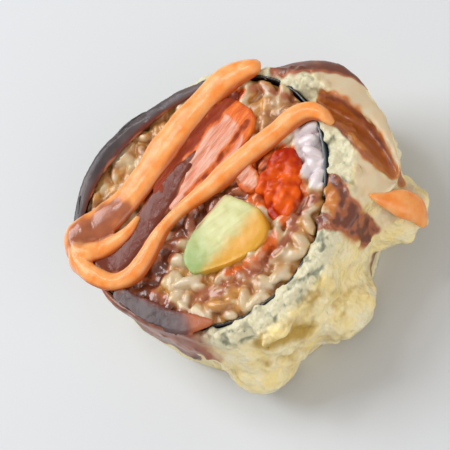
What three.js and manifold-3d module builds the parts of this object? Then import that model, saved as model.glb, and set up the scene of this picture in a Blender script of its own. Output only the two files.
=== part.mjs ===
// One slice of a deep-fried sushi roll, lying on its lower cut face: a craggy tempura coat, the rolled sheet of
// nori, the rice and the fillings, with sauce drizzled over the upper cut face. Millimetres, +Z up along the
// roll's axis. The origin is on that axis, on the lower cut face.
import * as THREE from "three";
import { mergeVertices } from "three/addons/utils/BufferGeometryUtils.js";
import Module from "manifold-3d";

const wasm = await Module();
wasm.setup();

// ---- driving dimensions ----
const SLICE_HEIGHT = 22; // between the two cut faces
const ROLL_RADIUS = 25; // outside of the nori
const NORI_THICKNESS = 0.6; // a damp sheet, with the film of sauce on it
const NORI_OVERLAP = 28; // degrees that the sheet's end laps over its start
const NORI_SEAM = -52; // degrees, where the sheet starts
const NORI_PROUD = 1.3; // height of the sheet over the rice on its bare side
const COAT_THICK = 4.6; // tempura coat where it has gathered
const WING_REACH = 7; // how far the fried flange stands out of the coat
const WING_DROP = 2.6; // how far the flange's lip lies below the rim
const TROUGH_DEPTH = 3.6; // of the groove between the coat and the flange
const TROUGH_WIDTH = 5; // of that groove
const GAP = 0.3; // left between neighbouring pieces
const GRAIN = { length: 5.8, width: 2.9, pitch: 3.8 }; // a cooked grain of rice, and the spacing of those that show
const RICE_TOP = SLICE_HEIGHT - 1.1; // level of the packed rice under the loose grains
const SEED = 41;

const AROUND = 96; // steps round the coat
const TAU = Math.PI * 2;
const rad = THREE.MathUtils.degToRad;
const smooth = THREE.MathUtils.smoothstep;

// ---- helpers ----
function randomFrom(seed) {
  let state = seed;
  return () => {
    state = (state * 16807) % 2147483647;
    return state / 2147483647;
  };
}

function bare(geometry) {
  geometry.deleteAttribute("normal");
  geometry.deleteAttribute("uv");
  return mergeVertices(geometry, 1e-4);
}

function solidOf(geometry) {
  const merged = bare(geometry);
  const vertProperties = new Float32Array(merged.attributes.position.array);
  const triVerts = new Uint32Array(merged.index.array);
  return new wasm.Manifold(new wasm.Mesh({ numProp: 3, vertProperties, triVerts }));
}

// The largest body of a solid, so that scraps cut loose by a neighbour are dropped.
function largest(solid) {
  return solid.decompose().reduce((best, body) => (body.volume() > best.volume() ? body : best));
}

function geometryOf(solid) {
  const { vertProperties, triVerts, numProp } = solid.getMesh();
  const positions = new Float32Array((vertProperties.length / numProp) * 3);
  for (let i = 0; i < positions.length / 3; i++) {
    positions.set(vertProperties.subarray(i * numProp, i * numProp + 3), i * 3);
  }
  const geometry = new THREE.BufferGeometry();
  geometry.setAttribute("position", new THREE.BufferAttribute(positions, 3));
  geometry.setIndex(new THREE.BufferAttribute(new Uint32Array(triVerts), 1));
  geometry.computeVertexNormals();
  return geometry;
}

function moveVertices(geometry, place) {
  const position = geometry.getAttribute("position");
  const point = new THREE.Vector3();
  for (let i = 0; i < position.count; i++) {
    point.fromBufferAttribute(position, i);
    place(point, i);
    position.setXYZ(i, point.x, point.y, point.z);
  }
  return geometry;
}

// 1 at the centre of a range of angles, falling smoothly to 0 at its ends. All in degrees.
function sector(angle, centre, halfWidth) {
  const away = Math.abs(((((angle - rad(centre)) % TAU) + TAU + Math.PI) % TAU) - Math.PI);
  return 1 - smooth(away, rad(halfWidth) * 0.35, rad(halfWidth));
}

// ---- the roll's outline ----
// The slice is a little out of round: each wave is [lobes, share of the radius, degrees of its first crest].
const OUTLINE_WAVES = [
  [1, 0.034, 137],
  [2, 0.012, 36],
  [3, 0.036, 10],
];

function rollRadius(angle) {
  const wave = ([lobes, share, at]) => share * Math.cos(lobes * (angle - rad(at)));
  const swell = OUTLINE_WAVES.reduce((sum, each) => sum + wave(each), 0);
  return ROLL_RADIUS * (1 + swell);
}

// How far the lapping end of the sheet lifts the coat outwards.
function lapLift(angle) {
  const turn = (((angle - rad(NORI_SEAM)) % TAU) + TAU) % TAU;
  const lap = rad(NORI_OVERLAP);
  const lift = NORI_THICKNESS + GAP;
  if (turn < lap + rad(3)) return lift;
  if (turn < lap + rad(9)) return lift * (1 - (turn - lap - rad(3)) / rad(6));
  return lift * smooth(turn, TAU - rad(45), TAU);
}

// Height of the sheet's upper edge: it stands proud of the rice where the coat has run off.
function noriTop(angle) {
  const ripple = 0.22 * Math.sin(9 * angle) + 0.15 * Math.sin(17 * angle + 1);
  return SLICE_HEIGHT + 0.1 + NORI_PROUD * sector(angle, 130, 60) + ripple;
}

function noriSolid() {
  const steps = 96;
  const end = TAU + rad(NORI_OVERLAP);
  const outer = [];
  const inner = [];
  for (let i = 0; i <= steps; i++) {
    const turn = (end * i) / steps;
    const angle = rad(NORI_SEAM) + turn;
    const lift = (NORI_THICKNESS + GAP) * smooth(turn, TAU - rad(45), TAU);
    const radius = rollRadius(angle) + lift;
    outer.push(new THREE.Vector2(radius * Math.cos(angle), radius * Math.sin(angle)));
    const within = radius - NORI_THICKNESS;
    inner.push(new THREE.Vector2(within * Math.cos(angle), within * Math.sin(angle)));
  }
  const sheet = new THREE.Shape([...outer, ...inner.reverse()]);
  const geometry = new THREE.ExtrudeGeometry(sheet, { depth: 1, bevelEnabled: false, steps: 1 });
  moveVertices(geometry, (p) => {
    p.z = p.z > 0.5 ? noriTop(Math.atan2(p.y, p.x)) : 0;
  });
  return solidOf(geometry);
}

// ---- the tempura coat ----
// Its thickness at the foot, the belly and the rim, by degrees round the roll: it has gathered on the near side,
// where it tucks in under its lumps, and is almost rubbed off next to that.
const COAT_STATIONS = [
  { at: -180, thick: [0.6, 0.9, 0.8] },
  { at: -150, thick: [0.6, 1.0, 0.8] },
  { at: -134, thick: [1.2, 3.2, 1.8] },
  { at: -122, thick: [1.2, 4.4, 3.0] },
  { at: -110, thick: [0.8, 4.8, 5.2] },
  { at: -98, thick: [0.6, 4.6, 5.0] },
  { at: -84, thick: [1.4, 4.4, 4.2] },
  { at: -57, thick: [1.6, 4.0, 3.0] },
  { at: -44, thick: [2.6, COAT_THICK, 4.2] },
  { at: -12, thick: [2.4, 3.6, 2.8] },
  { at: 12, thick: [2.2, 3.0, 2.2] },
  { at: 32, thick: [1.8, 2.6, 0.8] },
  { at: 120, thick: [1.6, 2.4, 0.6] },
  { at: 155, thick: [0.8, 1.3, 0.7] },
  { at: 180, thick: [0.6, 0.9, 0.8] },
];

function degreesOf(angle) {
  return THREE.MathUtils.radToDeg(Math.atan2(Math.sin(angle), Math.cos(angle)));
}

// Thickness of the coat at an angle and a share of its height.
function coatThickness(angle, share) {
  const degrees = degreesOf(angle);
  const next = Math.max(1, COAT_STATIONS.findIndex(({ at }) => at > degrees));
  const from = COAT_STATIONS[next - 1];
  const to = COAT_STATIONS[next];
  const between = smooth(degrees, from.at, to.at);
  const [foot, belly, rim] = from.thick.map((start, i) => THREE.MathUtils.lerp(start, to.thick[i], between));
  const lower = THREE.MathUtils.lerp(foot, belly, smooth(share, 0, 0.45));
  return THREE.MathUtils.lerp(lower, rim, smooth(share, 0.6, 1));
}

// The flange: 1 where it stands out in full, falling away at both ends.
function wingAt(angle) {
  const degrees = degreesOf(angle);
  return smooth(-degrees, -28, 4) * (1 - smooth(-degrees, 42, 70));
}

// How deep the groove is at an angle and a distance out from the coat's inside: it leaves the nori near +X and
// runs outwards towards the near side.
function troughDepth(angle, out) {
  const middle = 1.2 + 0.23 * (-4 - degreesOf(angle));
  const away = Math.min(1, Math.abs(out - middle) / (TROUGH_WIDTH / 2));
  return TROUGH_DEPTH * sector(angle, -20, 34) * Math.cos((away * Math.PI) / 2) ** 2;
}

// Rounded crags of batter, strewn over the coat's side by a seeded draw.
const crags = (() => {
  const random = randomFrom(SEED);
  const rows = [3, 8.5, 14, 19];
  const found = [];
  rows.forEach((z, row) => {
    const count = 15;
    for (let i = 0; i < count; i++) {
      found.push({
        angle: ((i + 0.5 * (row % 2) + 0.6 * (random() - 0.5)) / count) * TAU,
        z: z + 2.2 * (random() - 0.5),
        radius: 3.6 + 2.2 * random(),
        height: 0.7 + 1.5 * random(),
      });
    }
  });
  return found;
})();

// The large lumps that show low on the near side, and the one that carries a drop of sauce.
const lumps = [
  { angle: rad(-126), z: 4.5, radius: 7, height: 4.4 },
  { angle: rad(-86.5), z: 5.5, radius: 7.5, height: 4.8 },
  { angle: rad(-50), z: 9.5, radius: 6.5, height: 7.6 },
];

function highest(bumps, angle, z) {
  let height = 0;
  for (const crag of bumps) {
    const turn = ((((angle - crag.angle) % TAU) + TAU + Math.PI) % TAU) - Math.PI;
    const across = turn * 28;
    const distance = Math.hypot(across, z - crag.z) / crag.radius;
    if (distance < 1) height = Math.max(height, crag.height * Math.pow(1 - distance * distance, 0.8));
  }
  return height;
}

// The coat's section at an angle, as points [radius, height] from half way up its outside, over the top, down
// the inside and back along the bottom.
function coatSection(angle) {
  const inside = rollRadius(angle) + lapLift(angle) + GAP;
  const wing = wingAt(angle);
  const thin = smooth(coatThickness(angle, 1), 0.8, 2.4);
  const rim = SLICE_HEIGHT - 0.5 - 1.1 * sector(angle, 95, 75) + 0.5 * Math.sin(7 * angle + 2);
  const crust = 0.55 * thin * Math.sin(13 * angle) * Math.sin(5 * angle + 1);
  const outside = (share) => {
    const z = share * (rim - 1.2 - WING_DROP * wing);
    const thick = coatThickness(angle, share);
    const flare = WING_REACH * wing * Math.pow(share, 1.4);
    const crag = highest(crags, angle, z) * (0.1 + 0.9 * (thick / COAT_THICK));
    const bump = Math.max(crag, highest(lumps, angle, z)) * smooth(share, 0, 0.12);
    return [inside + thick + flare + bump * (1 - 0.75 * wing * smooth(share, 0.5, 0.9)), z];
  };
  const edge = outside(1)[0] - inside;
  const over = (share) => {
    const round = -1.0 * Math.pow(share, 4) + 0.35 * thin * Math.sin(Math.PI * share);
    const level = rim + round - WING_DROP * wing * share - troughDepth(angle, edge * share);
    return [inside + edge * share, level + crust * Math.sin(Math.PI * share)];
  };
  const points = [0.5, 0.64, 0.78, 0.9].map(outside);
  points.push(...[1, 0.84, 0.66, 0.46, 0.24, 0].map(over));
  points.push([inside, SLICE_HEIGHT / 2], [inside, 0]);
  points.push([inside + 0.5 * (outside(0)[0] - inside), 0]);
  points.push(...[0, 0.07, 0.18, 0.34].map(outside));
  return points;
}

function coatSolid() {
  const count = coatSection(0).length;
  const geometry = new THREE.TorusGeometry(1, 0.5, count, AROUND);
  const uv = geometry.getAttribute("uv");
  moveVertices(geometry, (p, i) => {
    const angle = Math.round(uv.getX(i) * AROUND) * (TAU / AROUND);
    const [radius, z] = coatSection(angle)[Math.round(uv.getY(i) * count) % count];
    p.set(radius * Math.cos(angle % TAU), radius * Math.sin(angle % TAU), z);
  });
  return solidOf(geometry);
}

// ---- the fillings ----
// Each filling's section across the roll: a rounded block, with its centre, half sizes, turn, squareness, taper
// along its length and rise over the rim.
const FILLINGS = {
  crab_stick: { x: 5.2, y: 7.4, half: [12, 6], turn: 4, square: 3.2, taper: 0.06, top: 0.5 },
  crab_stick_end: { x: 7.3, y: -3.4, half: [2.2, 3.3], turn: -14, square: 2.6, taper: 0, top: 0.4 },
  spicy_tuna: { x: 10.7, y: -9.8, half: [3.9, 7.3], turn: -45, square: 2.4, taper: 0, top: 0.3 },
  avocado: { x: -4, y: -7.9, half: [8.5, 5.3], turn: -17, square: 3.2, taper: 0.22, top: 1.1 },
};

// Relief of each filling's upper face over its own level, from a place in the filling's own axes.
const RELIEF = {
  crab_stick: (u, v) => 0.3 * Math.sin(1.2 * v + 0.2 * u) + 0.3 * Math.sin(0.55 * u + 1),
  crab_stick_end: (u, v) => 0.25 * Math.sin(1.1 * v + 0.6 * u),
  spicy_tuna: (u, v) => 0.45 * Math.sin(1.1 * u + 0.4 * v) + 0.35 * Math.sin(0.9 * v - 0.4 * u),
  avocado: (u, v) => 0.22 * Math.sin(0.3 * u) - 0.012 * v * v,
};

// A block that runs through the slice, grown outwards by a margin. It starts below the slice when it is a cutter.
function fillingSolid(name, margin, cutter) {
  const { x, y, half, turn, square, taper, top } = FILLINGS[name];
  const profile = [
    [0, 0],
    [1, 0],
    [1, 0.94],
    [0.93, 1],
    [0.72, 1],
    [0.48, 1],
    [0.24, 1],
    [0, 1],
  ].map(([r, h]) => new THREE.Vector2(r, h));
  const geometry = new THREE.LatheGeometry(profile, 30);
  const sine = Math.sin(rad(turn));
  const cosine = Math.cos(rad(turn));
  moveVertices(geometry, (p) => {
    const reach = Math.hypot(p.x, p.z);
    const around = Math.atan2(-p.z, p.x);
    const c = Math.cos(around);
    const s = Math.sin(around);
    const u = Math.sign(c) * Math.pow(Math.abs(c), 2 / square) * (half[0] + margin) * reach;
    const wide = half[1] * (1 + (taper * u) / half[0]) + margin;
    const v = Math.sign(s) * Math.pow(Math.abs(s), 2 / square) * wide * reach;
    const level = SLICE_HEIGHT + top;
    let z = p.y < 0.5 ? 0 : level * p.y + (p.y === 1 ? RELIEF[name](u, v) : 0);
    if (cutter) z = p.y < 0.5 ? -5 : SLICE_HEIGHT + 9;
    p.set(x + u * cosine - v * sine, y + u * sine + v * cosine, z);
  });
  return solidOf(geometry);
}

// ---- the rice ----
function insideFilling(x, y, margin) {
  return Object.values(FILLINGS).some((f) => {
    const sine = Math.sin(rad(f.turn));
    const cosine = Math.cos(rad(f.turn));
    const u = (x - f.x) * cosine + (y - f.y) * sine;
    const v = -(x - f.x) * sine + (y - f.y) * cosine;
    const long = f.half[0] + margin;
    const wide = f.half[1] * (1 + (f.taper * u) / f.half[0]) + margin;
    return Math.pow(Math.abs(u) / long, f.square) + Math.pow(Math.abs(v) / wide, f.square) < 1;
  });
}

function riceSolid() {
  const edge = (angle, less) => rollRadius(angle) - NORI_THICKNESS - GAP - less;
  const profile = [
    [0, 0],
    [1, 0],
    [1, 1],
    [0, 1],
  ].map(([r, h]) => new THREE.Vector2(r, h));
  const core = new THREE.LatheGeometry(profile, 72);
  moveVertices(core, (p) => {
    const reach = Math.hypot(p.x, p.z);
    const angle = Math.atan2(-p.z, p.x);
    const radius = reach * edge(angle, 0);
    p.set(radius * Math.cos(angle), radius * Math.sin(angle), p.y * RICE_TOP);
  });
  let rice = solidOf(core);

  const random = randomFrom(SEED + 7);
  const grains = [];
  const rowPitch = GRAIN.pitch * 0.87;
  const rows = Math.ceil(ROLL_RADIUS / rowPitch);
  for (let row = -rows; row <= rows; row++) {
    for (let column = -rows; column <= rows; column++) {
      const x = (column + 0.5 * (row & 1) + 0.45 * (random() - 0.5)) * GRAIN.pitch;
      const y = row * rowPitch + 0.45 * (random() - 0.5) * GRAIN.pitch;
      const spin = random() * Math.PI;
      const tilt = 0.5 * (random() - 0.5);
      const lift = 0.7 * random();
      const room = edge(Math.atan2(y, x), GRAIN.width * 0.55);
      if (Math.hypot(x, y) > room || insideFilling(x, y, 0.5)) continue;
      const grain = new THREE.SphereGeometry(1, 5, 4);
      grain.rotateZ(Math.PI / 2);
      grain.scale(GRAIN.length / 2, GRAIN.width / 2, GRAIN.width / 2.1);
      grain.rotateY(tilt);
      grain.rotateZ(spin);
      grain.translate(x, y, RICE_TOP - 0.3 + lift);
      grains.push(solidOf(grain));
    }
  }
  const loose = wasm.Manifold.union(grains);
  // the grains are pressed against the sheet, so what would reach past it is cut off
  const bound = new THREE.LatheGeometry(profile, 72);
  moveVertices(bound, (p) => {
    const reach = Math.hypot(p.x, p.z);
    const angle = Math.atan2(-p.z, p.x);
    const radius = reach * edge(angle, 0);
    p.set(radius * Math.cos(angle), radius * Math.sin(angle), p.y * (SLICE_HEIGHT + 5));
  });
  rice = rice.add(loose.intersect(solidOf(bound)));
  for (const name of Object.keys(FILLINGS)) rice = rice.subtract(fillingSolid(name, GAP, true));
  return rice;
}

// ---- the drizzle ----
// Strands of sauce across the upper cut face: [x, y] along each, its half widths there and its half height.
const STRANDS = [
  {
    // broad strand of orange sauce along the far side
    path: [
      [25.8, 10.2], [22.4, 11.9], [18.2, 13.6], [13.8, 14.4], [9, 14.6], [4.6, 14.5],
      [-0.2, 14.2], [-8.3, 13.3], [-12.6, 13.2], [-16.9, 14.2], [-21.2, 16.2], [-23.6, 18],
    ],
    wide: [2.3, 2.7, 2.9, 3.1, 3.3, 3.4, 3.4, 3.2, 3.1, 2.9, 2.5, 1.7],
    high: 1.6,
  },
  {
    // second strand, which loops back along the rim
    path: [
      [25.6, -8.6], [25.3, -5.6], [22.6, -3.4], [17.4, -2], [12, -1], [7, -0.4], [3, 0.6], [-1.5, 1.8],
      [-5.5, 2.2], [-9.5, 2.4], [-13, 1.9], [-16.6, 1.2], [-20.2, 1.1], [-23.4, 3], [-24.9, 6.8], [-24.8, 12],
    ],
    wide: [1.2, 1.8, 2.2, 2.2, 2.2, 2.2, 1.9, 1.5, 1.3, 1.5, 2.2, 2.5, 2.3, 2.0, 1.5, 1.4],
    high: 1.5,
  },
  {
    // short tail inside that loop
    path: [[-11.1, 8.9], [-15.2, 8.5], [-19.3, 9.6], [-22.8, 11.8], [-24.6, 15.6]],
    wide: [0.7, 1.4, 1.7, 1.9, 1.7],
    high: 1.4,
  },
  {
    // dark sauce between the orange strands
    path: [[2.7, 8.2], [-2.4, 8], [-7.4, 7.4], [-12, 6.5], [-16, 5.6], [-20, 5.9], [-22.6, 8.2]],
    wide: [0.7, 1.8, 2.6, 2.4, 2.0, 1.9, 1.5],
    high: 1.1,
  },
  {
    // dark sauce that runs along the rim
    path: [[-24.4, 0.6], [-23.2, -3], [-22, -8], [-20.8, -13], [-19.2, -17.6], [-17.4, -21]],
    wide: [1.2, 1.9, 2.2, 2.3, 2.1, 1.4],
    high: 1.1,
  },
];

// Level of a strand's middle: it lies on the face, and hangs over the rim.
function strandLevel(x, y) {
  const past = Math.max(0, Math.hypot(x, y) - rollRadius(Math.atan2(y, x)) - 1.2);
  return SLICE_HEIGHT + 0.45 - 0.3 * past * past;
}

function strandSolid({ path, wide, high }, margin) {
  const curve = new THREE.CatmullRomCurve3(
    path.map(([x, y]) => new THREE.Vector3(x, y, 0)),
    false,
    "centripetal",
  );
  const steps = Math.round(curve.getLength() / 2.4);
  const geometry = new THREE.CylinderGeometry(1, 1, 1, 8, steps);
  const tangent = new THREE.Vector3();
  const middle = new THREE.Vector3();
  moveVertices(geometry, (p) => {
    const t = THREE.MathUtils.clamp(p.y + 0.5, 0, 1);
    curve.getPoint(t, middle);
    curve.getTangent(t, tangent);
    const place = t * (wide.length - 1);
    const first = Math.min(Math.floor(place), wide.length - 2);
    const width = THREE.MathUtils.lerp(wide[first], wide[first + 1], place - first) + margin;
    const ends = p.y < -0.499 || p.y > 0.499 ? 0.62 : 1;
    const side = p.x * width * ends;
    const up = Math.max(p.z * (high + margin) * ends, -0.55 * high - margin);
    const level = strandLevel(middle.x, middle.y);
    const push = p.y < -0.499 ? -margin : p.y > 0.499 ? margin : 0;
    p.set(
      middle.x + tangent.y * side + tangent.x * push,
      middle.y - tangent.x * side + tangent.y * push,
      level + up,
    );
  });
  const solid = solidOf(geometry);
  if (solid.volume() > 0) return solid;
  throw new Error("a strand is inside out");
}

// ---- the slice ----
const drizzle = STRANDS.map((strand) => strandSolid(strand, 0));
const clearance = wasm.Manifold.union(STRANDS.map((strand) => strandSolid(strand, GAP)));

const pieces = {
  tempura_coat: [wasm.Manifold.union([coatSolid(), ...drizzle]), 0xd9cf9b, 0.5],
  nori: [noriSolid().subtract(clearance), 0x1c241f, 0.45],
  sushi_rice: [riceSolid().subtract(clearance), 0xe9e2d6, 0.45],
  crab_stick: [fillingSolid("crab_stick", 0, false).subtract(clearance), 0xe8a48c, 0.4],
  crab_stick_end: [fillingSolid("crab_stick_end", 0, false).subtract(clearance), 0xe89a80, 0.4],
  spicy_tuna: [fillingSolid("spicy_tuna", 0, false).subtract(clearance), 0xd9481f, 0.3],
  avocado: [fillingSolid("avocado", 0, false).subtract(clearance), 0xdbe08a, 0.45],
};

const slice = new THREE.Group();
slice.name = "sushi_roll_slice";
for (const [name, [solid, color, roughness]] of Object.entries(pieces)) {
  const material = new THREE.MeshStandardMaterial({ color, roughness, metalness: 0 });
  const mesh = new THREE.Mesh(geometryOf(largest(solid)), material);
  mesh.name = name;
  slice.add(mesh);
}

export default slice;
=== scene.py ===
"""One slice of a fried sushi roll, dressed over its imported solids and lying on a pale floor.

Sizes inside the shape functions are millimetres; a mesh gets them in metres through MM.
"""

import math

import bpy
import numpy as np
from bpy.props import FloatProperty, FloatVectorProperty, PointerProperty
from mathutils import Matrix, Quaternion, Vector, noise


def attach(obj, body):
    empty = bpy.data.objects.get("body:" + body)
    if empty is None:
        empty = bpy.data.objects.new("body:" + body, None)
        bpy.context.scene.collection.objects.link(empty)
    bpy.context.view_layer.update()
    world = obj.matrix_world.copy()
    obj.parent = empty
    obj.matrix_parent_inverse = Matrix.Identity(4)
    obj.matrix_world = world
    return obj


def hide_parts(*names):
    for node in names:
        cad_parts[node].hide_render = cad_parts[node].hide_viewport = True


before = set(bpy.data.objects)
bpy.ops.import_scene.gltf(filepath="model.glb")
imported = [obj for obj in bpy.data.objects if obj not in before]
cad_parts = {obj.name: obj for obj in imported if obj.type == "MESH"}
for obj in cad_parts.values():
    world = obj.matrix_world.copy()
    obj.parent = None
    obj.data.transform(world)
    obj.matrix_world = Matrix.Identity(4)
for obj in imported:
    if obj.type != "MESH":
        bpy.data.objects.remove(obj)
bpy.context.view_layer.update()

bl_info = {
    "name": "Fried sushi roll slice",
    "version": (1, 0, 0),
    "blender": (4, 5, 0),
    "location": "View3D > Sidebar > Sushi",
    "description": "Builds the coat, nori, rice, fillings and sauces of one slice of a fried sushi roll",
    "category": "Add Mesh",
}

MM = 0.001
TAU = math.tau

# ---- the same driving dimensions as the solids, in millimetres ----
SLICE_HEIGHT = 22  # between the two cut faces
NORI_OVERLAP = 28  # degrees that the sheet's end laps over its start
NORI_SEAM = -52  # degrees, where the sheet starts
NORI_PROUD = 1.3  # how much higher the sheet stands on its bare side
NORI_BARE = 130  # degrees, the middle of that side
WING_DROP = 2.6  # how far the flange's lip lies below the rim
GAP = 0.3  # left between neighbouring pieces
COAT_THICK = 4.6  # the coat where it has gathered
TROUGH_WIDTH = 5  # of the groove inside the flange
BELLY_RADIUS = 28  # of the coat, to turn an angle round it into a distance on its side
CRAG_SEED = 41
# degrees round the roll, then the coat's thickness at the foot, the belly and the rim
COAT_STATIONS = (
    (-180, 0.6, 0.9, 0.8), (-150, 0.6, 1.0, 0.8), (-134, 1.2, 3.2, 1.8), (-122, 1.2, 4.4, 3.0),
    (-110, 0.8, 4.8, 5.2), (-98, 0.6, 4.6, 5.0), (-84, 1.4, 4.4, 4.2), (-57, 1.6, 4.0, 3.0),
    (-44, 2.6, COAT_THICK, 4.2), (-12, 2.4, 3.6, 2.8), (12, 2.2, 3.0, 2.2), (32, 1.8, 2.6, 0.8),
    (120, 1.6, 2.4, 0.6), (155, 0.8, 1.3, 0.7), (180, 0.6, 0.9, 0.8),
)
# the large lumps: degrees round the roll, height up the side, radius and rise
LUMPS = ((-126, 4.5, 7, 4.4), (-86.5, 5.5, 7.5, 4.8), (-50, 9.5, 6.5, 7.6))
# how the slice is out of round: lobes, share of the radius, degrees of the first crest
OUTLINE_WAVES = ((1, 0.034, 137), (2, 0.012, 36), (3, 0.036, 10))
# each filling's section: its centre, half sizes, turn, squareness, taper and rise over the rim
FILLINGS = {
    "crab_stick": dict(at=(5.2, 7.4), half=(12, 6), turn=4, square=3.2, taper=0.06, top=0.5),
    "crab_stick_end": dict(at=(7.3, -3.4), half=(2.2, 3.3), turn=-14, square=2.6, taper=0, top=0.4),
    "spicy_tuna": dict(at=(10.7, -9.8), half=(3.9, 7.3), turn=-45, square=2.4, taper=0, top=0.3),
    "avocado": dict(at=(-4, -7.9), half=(8.5, 5.3), turn=-17, square=3.2, taper=0.22, top=1.1),
}

# Strands of orange sauce: x, y along each, its half widths there and its half height.
ORANGE_STRANDS = (
    dict(
        path=((24.9, 11.3), (21.9, 13.4), (18.7, 14.8), (14.8, 15.4), (10.3, 15.5), (5.8, 15.3), (1, 14.8),
              (-6, 13.7), (-11, 13.4), (-15.5, 13.9), (-20.2, 15.3), (-26.1, 18)),
        wide=(1.8, 2.5, 2.9, 3, 3.1, 3.2, 3.2, 3.1, 3.2, 3.3, 3, 2.1),
        high=1.4,
    ),
    dict(
        path=((24.7, -9.4), (25, -6.7), (23.7, -3.8), (20.6, -2.2), (16.6, -1.6), (11.9, -0.6), (7, 0.3),
              (2.6, 0.9), (-2, 1.9), (-5.6, 2.6), (-9.2, 2.7), (-12.4, 2.1), (-15.8, 1.3), (-19.8, 0.9),
              (-23.3, 2.9), (-24.9, 7), (-25.3, 11), (-25.6, 14.8)),
        wide=(0.8, 1.4, 1.9, 2.2, 2.3, 2.3, 2.3, 2.1, 1.7, 1.4, 1.3, 1.6, 1.9, 2, 1.9, 1.8, 1.7, 1.7),
        high=1.4,
    ),
    dict(
        path=((-11.1, 8.5), (-13.9, 8), (-16.9, 8.4), (-19.9, 9.5), (-22.8, 11.4), (-24.8, 15.4)),
        wide=(0.5, 1.1, 1.6, 1.9, 2.1, 1.9),
        high=1.4,
    ),
)

# Ribbons of dark sauce, made as the strands are: between them, inside the far rim, and over the near rim.
DARK_RIBBONS = (
    dict(
        path=((5.4, 8.9), (0.8, 8.6), (-3.4, 8.0), (-7.4, 7.3), (-12, 6.4), (-16, 5.5), (-20, 5.4),
              (-23.7, 8.4)),
        wide=(0.5, 1.7, 2.6, 3.1, 2.9, 2.7, 2.7, 2.2),
        high=0.55,
    ),
    dict(
        path=((17.6, 16), (14.2, 18.4), (9.8, 20.6), (4.6, 22.3), (-1, 23.3), (-6.6, 23.6), (-11.8, 22.5),
              (-16.6, 20.1), (-20.8, 16.6), (-23.4, 12.8)),
        wide=(0.6, 1.0, 1.4, 1.6, 1.7, 1.7, 1.7, 1.4, 1.0, 0.6),
        high=0.5,
    ),
    dict(
        path=((-24.3, 1.8), (-23.4, -4), (-22.2, -8.8), (-20.6, -13.2), (-18.3, -16.8), (-15.8, -19.5)),
        wide=(1.2, 2.2, 2.7, 2.8, 2.3, 0.7),
        high=0.26,
        fall=0.9,
    ),
)

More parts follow.
